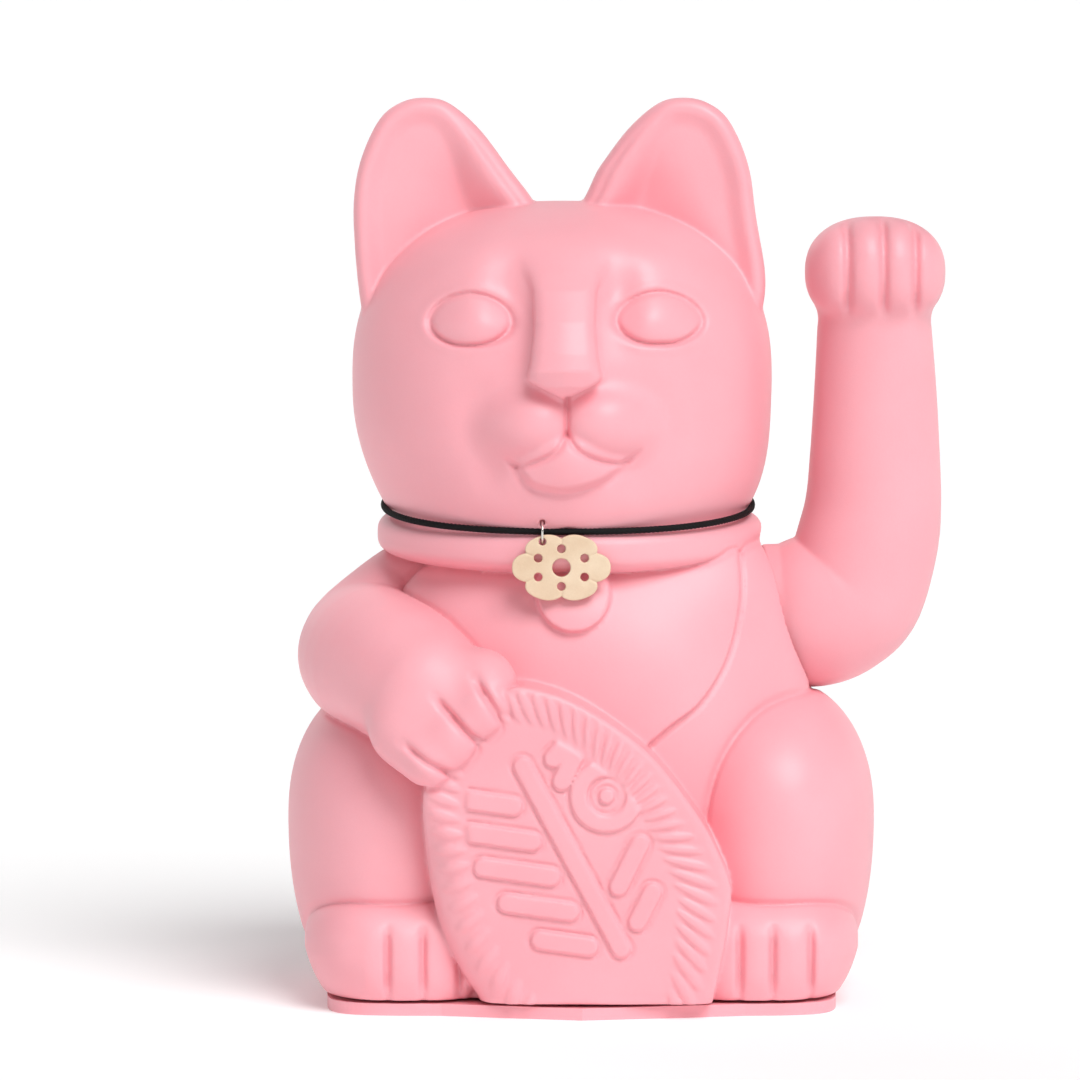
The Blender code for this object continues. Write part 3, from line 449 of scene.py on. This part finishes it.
def left_arm(p):
    d = chain(p, UPPER)
    knuckles = cap(p, (-28.4, -33.6, 47.4), 6.4, (-16.6, -33.8, 55.0), 5.8)
    tips = cap(p, (-24.3, -37.9, 42.9), 4.6, (-14.6, -38.2, 51.6), 4.0)
    d = smin(d, smin(knuckles, tips, 5.0), 2.6)
    m = sstep(-33.0, -36.0, p[1])
    for line in TOE_LINES:
        start = np.hypot(p[0] - line[0][0], p[2] - line[0][1])
        d = d + m * groove(line2(p[0], p[2], line), 1.25, 0.66) * sstep(0.0, 3.2, start + 0.6)
    for a, b in (((-22.4, 48.6), (-18.4, 42.6)), ((-17.6, 53.4), (-13.8, 47.8)), ((-26.8, 43.6), (-23.8, 39.8))):
        d = d - m * 0.45 * np.exp(-(seg2(p[0], p[2], a, b) / 2.2) ** 2)
    return d


def axis_r(p):
    return np.hypot(p[1] - PIV[0], p[2] - PIV[1])


def shoulder_room(p):
    """Room for the turning shoulder, and the hole its stub goes through."""
    r = axis_r(p)
    room = smax(r - 13.8, 30.1 - p[0], 0.4)
    hole = smax(r - 11.0, 18.0 - p[0], 0.3)
    return smin(room, hole, 0.3)


RING_C = (-6.5, -28.25, 79.3)
RING_R = 1.75
KNOT = (-2.2, 30.3, 84.6)
SCREWS = ((-36.5, -15.0), (36.5, -15.0), (-30.0, 21.0), (30.0, 21.0))


def cord_point(t):
    x = -2.2 + 30.9 * math.copysign(abs(math.cos(t)) ** 0.9, math.cos(t))
    y = 1.0 + 28.6 * math.copysign(abs(math.sin(t)) ** 0.9, math.sin(t))
    return x, y, 82.0 + 0.09 * (y - 1.0)


def cord_room(p):
    """A shallow groove for the cord, with room for its knot and for the pendant's ring."""
    t = np.arctan2((p[1] - 1.0) / 28.6, (p[0] + 2.2) / 30.9)
    c, s = np.cos(t), np.sin(t)
    x = -2.2 + 30.9 * np.sign(c) * np.abs(c) ** 0.9
    y = 1.0 + 28.6 * np.sign(s) * np.abs(s) ** 0.9
    z = 82.0 + 0.09 * (y - 1.0)
    d = np.sqrt((p[0] - x) ** 2 + (p[1] - y) ** 2 + (p[2] - z) ** 2) - 0.75 - 0.6 * sstep(-4.0, 14.0, p[1])
    d = np.minimum(d, np.sqrt((p[0] - KNOT[0]) ** 2 + (p[1] - KNOT[1]) ** 2 + (p[2] - KNOT[2]) ** 2) - 1.9)
    q = np.hypot(p[1] - RING_C[1], p[2] - RING_C[2]) - RING_R
    return np.minimum(d, np.hypot(q, p[0] - RING_C[0]) - 0.45)


def plate_line(n=240, inset=0.0):
    out = []
    for i in range(n):
        t = 2 * math.pi * i / n
        c, s = math.cos(t), math.sin(t)
        k, depth = (3.1, 33.6) if s > 0 else (9.0, 34.6)
        x = math.copysign(abs(c) ** (2 / k), c) * (42.3 - inset)
        y = math.copysign(abs(s) ** (2 / k), s) * (depth - inset) + 2.0
        if s < 0:
            y -= 5.4 * math.exp(-((x - 2.5) / 18.5) ** 6)
        out.append((x, y))
    return out


MOUTH = Plan(plate_line(120, 3.2), (-50.0, -48.0), (50.0, 46.0), 0.3)


def cavity(p):
    """The moulded hollow, open at the base."""
    x, y, z = p
    d = trunk(p)
    d = smin(d, ell(p, (-1.9, 1, 77.2), (32.3, 29.5, 5.0), 3.4, 2.05, 0.045), 2.0)
    for s in (-1, 1):
        d = smin(d, ell(p, (s * 31.5, -2, 30), (17.7, 29.5, 34.0, 22.9), 2.2), 3.0)
        d = smin(d, foot(p, s), 3.0)
    d = smin(d, skull(p) + 3.4 * sstep(-4, -14, y), 3.0) + 2.5
    # the recess behind the shoulder keeps its wall
    d = smax(d, -np.maximum(axis_r(p) - 16.4, 27.6 - x), 0.5)
    # the coin is hollow too
    w = -(y - COIN_C[1]) - (z - COIN_C[2]) * math.tan(math.radians(4.5))
    d = smin(d, np.maximum(np.maximum(COIN_PLAN(x, z) + 3.0, w - 9.2), y + 12.0), 0.5)
    d = smax(d, 5.0 - z, 0.5)
    d = np.minimum(d, np.maximum(np.maximum(MOUTH(x, y), z - 9.0), -z))
    d = np.minimum(d, np.maximum(np.maximum(np.abs(x + 14.0) - 9.6, np.abs(y - 3.8) - 27.8), np.maximum(z - 19.0, -z)))
    for bx, by in SCREWS:
        ux, uy = bx / math.hypot(bx, by), by / math.hypot(bx, by)
        a, b = (x - bx) * ux + (y - by) * uy, -(x - bx) * uy + (y - by) * ux
        post = np.minimum(np.hypot(x - bx, y - by) - 3.6, np.maximum(np.abs(a - 6.0) - 6.0, np.abs(b) - 1.0))
        d = smax(d, -np.maximum(post, z - 19.0), 0.4)
    return d


def body(p):
    d = torso(p)
    d = smin(d, only(p, p[2] > 66, head, 20.0), 0.5)
    m = (np.abs(p[2] - 81.5) < 9) & (np.abs(d) < 6)
    if m.any():
        q = tuple(k[m] for k in p)
        d[m] = smax(d[m], -cord_room(q), 0.25)
    skin = d
    d = smax(d, SHELL_Z - p[2], 0.3)
    d = smax(d, -only(p, p[0] > 10, shoulder_room, 20.0), 0.3)
    # the straight room at the foot never comes nearer than a wall's thickness to the outside
    d = smax(d, -np.maximum(cavity(p), np.where(p[2] < 10.0, skin + 1.8, -30.0)), 0.3)
    for bx, by in SCREWS:
        r = np.hypot(p[0] - bx, p[1] - by)
        d = np.maximum(d, -np.minimum(np.maximum(r - 1.45, p[2] - 14.0), np.maximum(r - 4.6, p[2] - 3.95)))
    return d


# -------------------------------------------------------------- raised arm
ARM_LINE = smooth_line([(31.0, 2.0, 63.5, 11.5), (36.0, 2.0, 63.2, 12.1), (39.6, 2.0, 63.9, 12.8), (42.6, 2.0, 65.1, 12.7), (45.8, 2.0, 67.7, 12.2), (48.2, 2.0, 75.5, 11.9),
                        (49.2, 1.9, 82.0, 11.4), (49.4, 1.5, 91.0, 10.85), (49.4, 1.0, 101.0, 10.25),
                        (49.2, 0.5, 111.0, 9.6)], 50)


def raised_arm(p):
    limb = chain(p, ARM_LINE)
    paw = ell(p, (49.2, -1.0, 121.0), (11.75, 11.2, 9.3), 2.3)
    m = sstep(-2, -7, p[1]) * sstep(113.0, 117, p[2])
    for c, k in ((44.3, 1.0), (50.2, 1.0), (55.5, 1.0)):
        paw = paw + m * groove(p[0] - c, 1.25 * k, 0.75)
    for c in (41.2, 47.3, 53.0, 58.4):
        paw = paw - m * 0.45 * np.exp(-((p[0] - c) / 1.9) ** 2)
    d = smin(limb, paw, 2.2)
    d = smax(d, 30.5 - p[0], 0.4)
    r = axis_r(p)
    d = np.minimum(d, np.maximum(np.maximum(r - 10.2, 30.0 - p[0]), p[0] - 36.0))
    room = smax(smin(limb, ell(p, (49.2, -1.0, 121.0), (11.7, 11.2, 9.3), 2.3), 2.2) + 2.0, 36.3 - p[0], 0.3)
    room = np.minimum(room, np.maximum(np.maximum(r - 8.4, 28.0 - p[0]), p[0] - 42.0))
    return smax(d, -room, 0.2)


# ------------------------------------------------------------------ meshing
def surface(name, field, lo, hi, step, keep=None):
    """Mesh the zero level of a field, and settle each vertex onto it."""
    lo = np.array(lo, float)
    n = [int(math.ceil((hi[i] - lo[i]) / step)) + 1 for i in range(3)]
    B = 8
    nb = [(k + B - 1) // B for k in n]
    grid = np.full((nb[0] * B, nb[1] * B, nb[2] * B), 9.0, np.float32)
    # coarse pass: centres of blocks
    cx, cy, cz = np.meshgrid(*[lo[i] + (np.arange(nb[i]) + 0.5) * B * step for i in range(3)], indexing="ij")
    d = field((cx.ravel().astype(np.float32), cy.ravel().astype(np.float32), cz.ravel().astype(np.float32)))
    half = B * step * 0.5 * math.sqrt(3) * 1.25 + step * 2
    d = d.reshape(cx.shape)
    view = grid.reshape(nb[0], B, nb[1], B, nb[2], B)
    view[...] = np.where(d > 0, 9.0, -9.0)[:, None, :, None, :, None]
    hot = np.argwhere(np.abs(d) < half + 1.0)
    off = np.stack(np.meshgrid(*[np.arange(B)] * 3, indexing="ij"), -1).reshape(-1, 3)
    for s in range(0, len(hot), 4000):
        h = hot[s:s + 4000]
        idx = h[:, None, :] * B + off[None]
        q = (lo + idx * step).astype(np.float32).reshape(-1, 3)
        v = field((q[:, 0], q[:, 1], q[:, 2])).astype(np.float32)
        i = idx.reshape(-1, 3)
        grid[i[:, 0], i[:, 1], i[:, 2]] = v
    g = openvdb.FloatGrid(9.0)
    g.copyFromArray(grid)
    pts, quads = g.convertToQuads(0.0)
    co = (lo + pts.astype(float) * step)
    for _ in range(2):
        q = co.astype(np.float32)
        e = 0.12
        f0 = field((q[:, 0], q[:, 1], q[:, 2]))
        gr = []
        for k in range(3):
            a = [q[:, 0], q[:, 1], q[:, 2]]
            a[k] = a[k] + e
            gr.append((field(tuple(a)) - f0) / e)
        gr = np.stack(gr, -1)
        m2 = np.maximum((gr ** 2).sum(-1), 0.05)
        mv = -(f0 / m2)[:, None] * gr
        L = np.maximum(np.linalg.norm(mv, axis=1), 1e-9)
        mv *= np.minimum(1.0, 0.45 * step / L)[:, None]
        co = co + mv
    me = bpy.data.meshes.new(name)
    nq = len(quads)
    me.vertices.add(len(co))
    me.vertices.foreach_set("co", (co * MM).astype(np.float32).ravel())
    me.loops.add(nq * 4)
    me.loops.foreach_set("vertex_index", quads.astype(np.int32).ravel())
    me.polygons.add(nq)
    me.polygons.foreach_set("loop_start", np.arange(0, nq * 4, 4, dtype=np.int32))
    me.update(calc_edges=True)
    me.validate()
    ob = bpy.data.objects.new(name, me)
    bpy.context.scene.collection.objects.link(ob)
    bm = bmesh.new()
    bm.from_mesh(me)
    vol = bm.calc_volume(signed=True)
    if vol < 0:
        bmesh.ops.reverse_faces(bm, faces=bm.faces)
    bm.to_mesh(me)
    bm.free()
    me.shade_smooth()
    print(name, "faces", nq, "volume_ml", round(vol * 1e6, 2))
    return ob


def front_field(p):
    return smax(body(p), p[1] - SEAM_Y + 0.03, 0.22)


def rear_field(p):
    return smax(body(p), SEAM_Y + 0.17 - p[1], 0.22)


def arm_front_field(p):
    return smax(raised_arm(p), p[1] - 2.0 + 0.02, 0.2)


def arm_rear_field(p):
    return smax(raised_arm(p), 2.12 - p[1], 0.2)


def petal_line(n=180):
    out = []
    for i in range(n):
        t = 2 * math.pi * i / n
        r = 1.0 - 0.17 * (1 - abs(math.cos(3 * t))) ** 1.6
        out.append((8.1 * r * math.cos(t), 5.75 * r * math.sin(t)))
    return out


PENDANT = (-3.4, -29.2, 73.66)
PETALS = Plan(petal_line(), (-10.0, -8.0), (10.0, 8.0), 0.08)


def pendant_field(p):
    """A flat blossom with rounded edges, pierced by an eye, a centre and six round holes."""
    x, z, w = p[0] - PENDANT[0], p[2] - PENDANT[2], np.abs(p[1] - PENDANT[1])
    d = PETALS(x, z)
    # petals swell a little between shallow creases that run in from the notches
    t = np.arctan2(z / 5.75, x / 8.1)
    rr = np.hypot(x / 8.1, z / 5.75)
    d = np.maximum(d, -(np.hypot(x, z) - 1.5))
    d = np.maximum(d, -(np.hypot(x - (RING_C[0] - PENDANT[0]), z - (77.93 - PENDANT[2])) - 0.62))
    for k in range(6):
        a = math.radians(60 * k + 30)
        d = np.maximum(d, -(np.hypot(x - 4.4 * math.cos(a), z - 3.1 * math.sin(a)) - 0.7))
    crease = 0.16 * np.exp(-((np.abs(np.cos(3 * t)) * rr * 6.0) / 0.5) ** 2) * sstep(0.55, 0.8, rr)
    half = 0.42 - crease
    r = 0.2
    q1, q2 = d + r, w - half + r
    return np.minimum(np.maximum(q1, q2), 0) + np.hypot(np.maximum(q1, 0), np.maximum(q2, 0)) - r


def mesh_object(name, co, faces):
    me = bpy.data.meshes.new(name)
    me.from_pydata([tuple(c) for c in co], [], faces)
    me.update()
    ob = bpy.data.objects.new(name, me)
    scene.collection.objects.link(ob)
    bm = bmesh.new()
    bm.from_mesh(me)
    bmesh.ops.recalc_face_normals(bm, faces=bm.faces)
    bm.to_mesh(me)
    bm.free()
    me.shade_smooth()
    return ob


def wire(name, pts, radius, sides=14, cyclic=False, twist=0.0, ply=0.0, plies=2):
    """A round or laid wire swept along points in millimetres; twist is turns per millimetre."""
    P = np.array(pts, float)
    n = len(P)
    T = np.roll(P, -1, 0) - np.roll(P, 1, 0)
    if not cyclic:
        T[0], T[-1] = P[1] - P[0], P[-1] - P[-2]
    T /= np.linalg.norm(T, axis=1)[:, None]
    up = np.array([0.0, 0.0, 1.0]) if abs(T[0][2]) < 0.9 else np.array([1.0, 0.0, 0.0])
    N = np.zeros_like(P)
    v = up - T[0] * (up @ T[0])
    N[0] = v / np.linalg.norm(v)
    for i in range(1, n):
        v = N[i - 1] - T[i] * (N[i - 1] @ T[i])
        N[i] = v / np.linalg.norm(v)
    Bn = np.cross(T, N)
    L = np.concatenate([[0], np.cumsum(np.linalg.norm(np.diff(P, axis=0), axis=1))])
    total = L[-1] + np.linalg.norm(P[-1] - P[0])
    turns = round(twist * total) if cyclic else twist * total
    # a closed line takes back the turn that its frame has picked up on the way round
    slip = 0.0
    if cyclic:
        v = N[-1] - T[0] * (N[-1] @ T[0])
        slip = math.atan2(v @ Bn[0], v @ N[0])
    co = []
    for i in range(n):
        f = L[i] / total
        for k in range(sides):
            a = 2 * math.pi * k / sides
            r = radius * (1.0 - ply + ply * abs(math.cos((a * plies - 2 * math.pi * turns * f * plies) / 2)) ** 0.8)
            b = a - slip * f
            co.append(P[i] + r * (math.cos(b) * N[i] + math.sin(b) * Bn[i]))
    faces = []
    for i in range(n if cyclic else n - 1):
        j = (i + 1) % n
        for k in range(sides):
            m = (k + 1) % sides
            faces.append((i * sides + k, i * sides + m, j * sides + m, j * sides + k))
    if not cyclic:
        faces.append(tuple(range(sides))[::-1])
        faces.append(tuple((n - 1) * sides + k for k in range(sides)))
    return mesh_object(name, np.array(co) * MM, faces)


# ---------------------------------------------------------------- materials
def mat(name):
    m = bpy.data.materials.new(name)
    m.use_nodes = True
    nt = m.node_tree
    return m, nt, nt.nodes["Principled BSDF"]


def noise(nt, scale, detail=2.0, rough=0.5, stretch=None):
    tc = nt.nodes.new("ShaderNodeTexCoord")
    n = nt.nodes.new("ShaderNodeTexNoise")
    n.inputs["Scale"].default_value = scale
    n.inputs["Detail"].default_value = detail
    n.inputs["Roughness"].default_value = rough
    src = tc.outputs["Object"]
    if stretch:
        mp = nt.nodes.new("ShaderNodeMapping")
        mp.inputs["Scale"].default_value = stretch
        nt.links.new(src, mp.inputs["Vector"])
        src = mp.outputs["Vector"]
    nt.links.new(src, n.inputs["Vector"])
    return n


def ramp(nt, src, stops):
    r = nt.nodes.new("ShaderNodeValToRGB")
    while len(r.color_ramp.elements) > 1:
        r.color_ramp.elements.remove(r.color_ramp.elements[-1])
    r.color_ramp.elements[0].position = stops[0][0]
    r.color_ramp.elements[0].color = (*stops[0][1], 1)
    for pos, c in stops[1:]:
        e = r.color_ramp.elements.new(pos)
        e.color = (*c, 1)
    nt.links.new(src, r.inputs["Fac"])
    return r


def bump(nt, bsdf, height, strength, dist, prev=None):
    b = nt.nodes.new("ShaderNodeBump")
    b.inputs["Strength"].default_value = strength
    b.inputs["Distance"].default_value = dist
    nt.links.new(height, b.inputs["Height"])
    if prev is not None:
        nt.links.new(prev, b.inputs["Normal"])
    nt.links.new(b.outputs["Normal"], bsdf.inputs["Normal"])
    return b.outputs["Normal"]


def spread(nt, bsdf, n, lo, hi):
    mr = nt.nodes.new("ShaderNodeMapRange")
    mr.inputs["To Min"].default_value = lo
    mr.inputs["To Max"].default_value = hi
    nt.links.new(n.outputs["Fac"], mr.inputs["Value"])
    nt.links.new(mr.outputs["Result"], bsdf.inputs["Roughness"])


def plastic(name, dark, light, rough, scale=45.0, grain=2600.0, grain_strength=0.25, ior=0.4, sss=0.0):
    """Moulded plastic: faint flow marks in the colour, a fine spark-eroded grain."""
    m, nt, b = mat(name)
    big = noise(nt, scale, 3.0)
    fine = noise(nt, grain, 2.0, 0.6)
    add = nt.nodes.new("ShaderNodeMath")
    add.operation = "MULTIPLY_ADD"
    add.inputs[1].default_value = 0.25
    nt.links.new(fine.outputs["Fac"], add.inputs[0])
    nt.links.new(big.outputs["Fac"], add.inputs[2])
    r = ramp(nt, add.outputs["Value"], [(0.40, dark), (0.85, light)])
    nt.links.new(r.outputs["Color"], b.inputs["Base Color"])
    spread(nt, b, noise(nt, scale * 2, 2.0), *rough)
    n1 = bump(nt, b, fine.outputs["Fac"], grain_strength, 0.00005)
    bump(nt, b, noise(nt, 150.0, 2.0).outputs["Fac"], 0.10, 0.0004, n1)
    b.inputs["Specular IOR Level"].default_value = ior
    if sss:
        b.inputs["Subsurface Weight"].default_value = sss
        b.inputs["Subsurface Radius"].default_value = (1.0, 0.40, 0.36)
        b.inputs["Subsurface Scale"].default_value = 0.0016
    return m


def metal(name, dark, light, rough, stretch=(1, 1, 12), scale=400.0, strength=0.15):
    """Drawn or turned metal: fine marks one way, uneven tarnish."""
    m, nt, b = mat(name)
    big = noise(nt, 90.0, 3.0)
    r = ramp(nt, big.outputs["Fac"], [(0.3, dark), (0.7, light)])
    nt.links.new(r.outputs["Color"], b.inputs["Base Color"])
    b.inputs["Metallic"].default_value = 1.0
    lines = noise(nt, scale, 2.0, 0.6, stretch)
    spread(nt, b, lines, *rough)
    bump(nt, b, lines.outputs["Fac"], strength, 0.00008)
    return m


def cord_black():
    m, nt, b = mat("waxed_cord")
    fibre = noise(nt, 5200.0, 3.0, 0.7)
    r = ramp(nt, fibre.outputs["Fac"], [(0.35, (0.002, 0.002, 0.002)), (0.75, (0.009, 0.009, 0.010))])
    nt.links.new(r.outputs["Color"], b.inputs["Base Color"])
    spread(nt, b, fibre, 0.6, 0.85)
    b.inputs["Specular IOR Level"].default_value = 0.2
    bump(nt, b, fibre.outputs["Fac"], 0.5, 0.0001)
    return m


def board_green():
    m, nt, b = mat("circuit_green")
    tc = nt.nodes.new("ShaderNodeTexCoord")
    w = nt.nodes.new("ShaderNodeTexBrick")
    w.inputs["Scale"].default_value = 330.0
    w.inputs["Mortar Size"].default_value = 0.06
    w.inputs["Color1"].default_value = (0.012, 0.13, 0.05, 1)
    w.inputs["Color2"].default_value = (0.016, 0.17, 0.06, 1)
    w.inputs["Mortar"].default_value = (0.05, 0.33, 0.13, 1)
    nt.links.new(tc.outputs["Object"], w.inputs["Vector"])
    nt.links.new(w.outputs["Color"], b.inputs["Base Color"])
    spread(nt, b, noise(nt, 700.0), 0.3, 0.5)
    bump(nt, b, w.outputs["Fac"], 0.4, 0.00008)
    return m


def cell_jacket():
    m, nt, b = mat("cell_wrap")
    tc = nt.nodes.new("ShaderNodeTexCoord")
    sep = nt.nodes.new("ShaderNodeSeparateXYZ")
    nt.links.new(tc.outputs["Object"], sep.inputs["Vector"])
    mr = nt.nodes.new("ShaderNodeMapRange")
    mr.inputs["From Min"].default_value = -0.021
    mr.inputs["From Max"].default_value = 0.029
    nt.links.new(sep.outputs["Y"], mr.inputs["Value"])
    r = ramp(nt, mr.outputs["Result"], [(0.0, (0.55, 0.55, 0.54)), (0.03, (0.012, 0.016, 0.022)), (0.70, (0.014, 0.018, 0.026)),
                                        (0.705, (0.50, 0.24, 0.07)), (0.97, (0.56, 0.28, 0.09)), (0.98, (0.6, 0.6, 0.58))])
    nt.links.new(r.outputs["Color"], b.inputs["Base Color"])
    b.inputs["Metallic"].default_value = 0.6
    n = noise(nt, 500.0, 2.0, 0.5, (1, 0.05, 1))
    spread(nt, b, n, 0.25, 0.42)
    bump(nt, b, n.outputs["Fac"], 0.1, 0.00005)
    return m


PINK = plastic("pink_moulded", (0.885, 0.378, 0.430), (0.925, 0.420, 0.472), (0.38, 0.50), ior=0.5, sss=0.12)
LOOKS = {
    "pink_abs": PINK,
    "black_cord": cord_black(),
    "cream_plastic": plastic("cream_card", (0.70, 0.53, 0.36), (0.80, 0.65, 0.47), (0.45, 0.62), 260.0, 3000.0, 0.35),
    "steel": metal("zinc_steel", (0.42, 0.42, 0.41), (0.58, 0.58, 0.56), (0.25, 0.42)),
    "nickel": metal("bright_nickel", (0.62, 0.60, 0.56), (0.78, 0.76, 0.72), (0.12, 0.26), (1, 1, 3)),
    "white_pom": plastic("white_acetal", (0.72, 0.72, 0.69), (0.82, 0.82, 0.80), (0.32, 0.45), 60.0, 2000.0, 0.2),
    "weight_steel": metal("raw_steel", (0.10, 0.10, 0.11), (0.24, 0.23, 0.23), (0.35, 0.6), (6, 1, 1), 500.0, 0.35),
    "bronze": metal("sintered_bronze", (0.42, 0.26, 0.10), (0.56, 0.38, 0.16), (0.35, 0.55), (1, 1, 1), 2500.0, 0.5),
    "copper": metal("enamelled_copper", (0.50, 0.15, 0.05), (0.68, 0.25, 0.09), (0.2, 0.35), (1, 1, 20), 900.0, 0.6),
    "board_green": board_green(),
    "black_plastic": plastic("black_moulded", (0.012, 0.012, 0.013), (0.030, 0.030, 0.032), (0.35, 0.5), 200.0, 2600.0, 0.3),
    "red_lead": plastic("red_pvc", (0.42, 0.012, 0.010), (0.56, 0.020, 0.016), (0.28, 0.4), 200.0, 2000.0, 0.15),
    "cell_jacket": cell_jacket(),
}

# ------------------------------------------------------------------- pieces
scene = bpy.context.scene
front = surface("front_shell_fine", front_field, (-52.0, -46.0, 1.5), (52.0, 4.0, 153.0), STEP * 0.84)
rear = surface("rear_shell_fine", rear_field, (-52.0, 0.0, 1.5), (52.0, 44.0, 153.0), STEP * 1.15)
arm_f = surface("arm_front_fine", arm_front_field, (27.0, -15.0, 48.0), (64.0, 4.0, 133.0), STEP)
arm_r = surface("arm_rear_fine", arm_rear_field, (27.0, 0.5, 48.0), (64.0, 18.0, 133.0), STEP)
pend = surface("pendant_fine", pendant_field, (-12.5, -30.4, 66.5), (5.7, -28.0, 80.5), 0.14)
cord_pts = [cord_point(math.pi / 2 + 0.036 + (2 * math.pi - 0.072) * i / 899) for i in range(900)]
cord = wire("neck_cord_fine", cord_pts, 0.56, 14, False, 0.42, 0.20, 3)
ring = wire("pendant_ring_fine", [(RING_C[0], RING_C[1] + RING_R * math.cos(2 * math.pi * i / 64),
                                   RING_C[2] + RING_R * math.sin(2 * math.pi * i / 64)) for i in range(64)], 0.2, 10, True)
knot_pts = []
for i in range(120):
    t = 2 * math.pi * i / 120
    knot_pts.append((KNOT[0] + 0.34 * (math.sin(t) + 2 * math.sin(2 * t)), KNOT[1] - 0.05 + 0.34 * -math.sin(3 * t),
                     KNOT[2] + 0.32 * (math.cos(t) - 2 * math.cos(2 * t))))
knot = wire("cord_knot_fine", knot_pts, 0.42, 12, True, 0.42, 0.20, 3)

for ob, nd, bd, sl in ((front, "front_shell", "body", "pink_abs"), (rear, "rear_shell", "body", "pink_abs"),
                       (arm_f, "arm_front_half", "arm", "pink_abs"), (arm_r, "arm_rear_half", "arm", "pink_abs"),
                       (pend, "flower_pendant", "pendant", "cream_plastic"), (cord, "neck_cord", "body", "black_cord"),
                       (ring, "pendant_ring", "pendant", "nickel"), (knot, "cord_knot", "body", "black_cord")):
    ob.data.materials.append(LOOKS[sl])
    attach(ob, bd)
    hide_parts(nd)

slots = {row["node"]: row["material_slot"] for row in frame["record"]["subparts"]}
for node, ob in frame["nodes"].items():
    ob.data.materials.clear()
    ob.data.materials.append(LOOKS[slots[node]])

# --------------------------------------------------------- camera and light
T = Vector((-6.9, 0.0, 75.9)) * MM
DIST, ELEV, FPX = 1.2, math.radians(4.5), 7140.0
cam_data = bpy.data.cameras.new("camera")
cam = bpy.data.objects.new("camera", cam_data)
scene.collection.objects.link(cam)
cam_data.sensor_width = 36.0
cam_data.lens = FPX / 1080.0 * 36.0
cam_data.clip_start = 0.05
cam_data.clip_end = 400.0
cam.location = T + Vector((0, -math.cos(ELEV), math.sin(ELEV))) * DIST
cam.rotation_euler = (T - cam.location).to_track_quat("-Z", "Y").to_euler()
scene.camera = cam

me = bpy.data.meshes.new("floor")
bm = bmesh.new()
bmesh.ops.create_grid(bm, x_segments=1, y_segments=1, size=90.0)
bm.to_mesh(me)
bm.free()
floor = bpy.data.objects.new("floor", me)
scene.collection.objects.link(floor)
fm, nt, b = mat("floor_paint")
n = noise(nt, 3.0, 2.0)
r = ramp(nt, n.outputs["Fac"], [(0.3, (0.945, 0.945, 0.945)), (0.7, (0.96, 0.96, 0.96))])
nt.links.new(r.outputs["Color"], b.inputs["Base Color"])
b.inputs["Roughness"].default_value = 0.9
b.inputs["Specular IOR Level"].default_value = 0.1
b.inputs["Emission Color"].default_value = (1.0, 1.0, 1.0, 1)
b.inputs["Emission Strength"].default_value = 0.14
me.materials.append(fm)


def sun(name, towards, power, angle, color=(1, 1, 1)):
    ld = bpy.data.lights.new(name, "SUN")
    ld.energy = power
    ld.angle = math.radians(angle)
    ld.color = color
    ob = bpy.data.objects.new(name, ld)
    scene.collection.objects.link(ob)
    ob.rotation_euler = Vector(towards).to_track_quat("-Z", "Y").to_euler()
    return ob


sun("key", (-0.40, 0.70, -0.90), 2.35, 34.0)
sun("top", (0.05, 0.20, -1.0), 0.35, 60.0)
sun("rear", (0.35, -0.8, -0.6), 0.45, 50.0)
world = bpy.data.worlds.new("studio")
scene.world = world
world.use_nodes = True
bg = world.node_tree.nodes["Background"]
# a bright wall all round, a dimmer ceiling
tc = world.node_tree.nodes.new("ShaderNodeTexCoord")
sep = world.node_tree.nodes.new("ShaderNodeSeparateXYZ")
world.node_tree.links.new(tc.outputs["Generated"], sep.inputs["Vector"])
r = ramp(world.node_tree, sep.outputs["Z"], [(0.0, (1.04, 1.03, 1.035)), (0.15, (1.04, 1.03, 1.035)), (0.40, (0.11, 0.108, 0.109))])
world.node_tree.links.new(r.outputs["Color"], bg.inputs["Color"])
bg.inputs["Strength"].default_value = 1.0
scene.view_settings.view_transform = "Standard"
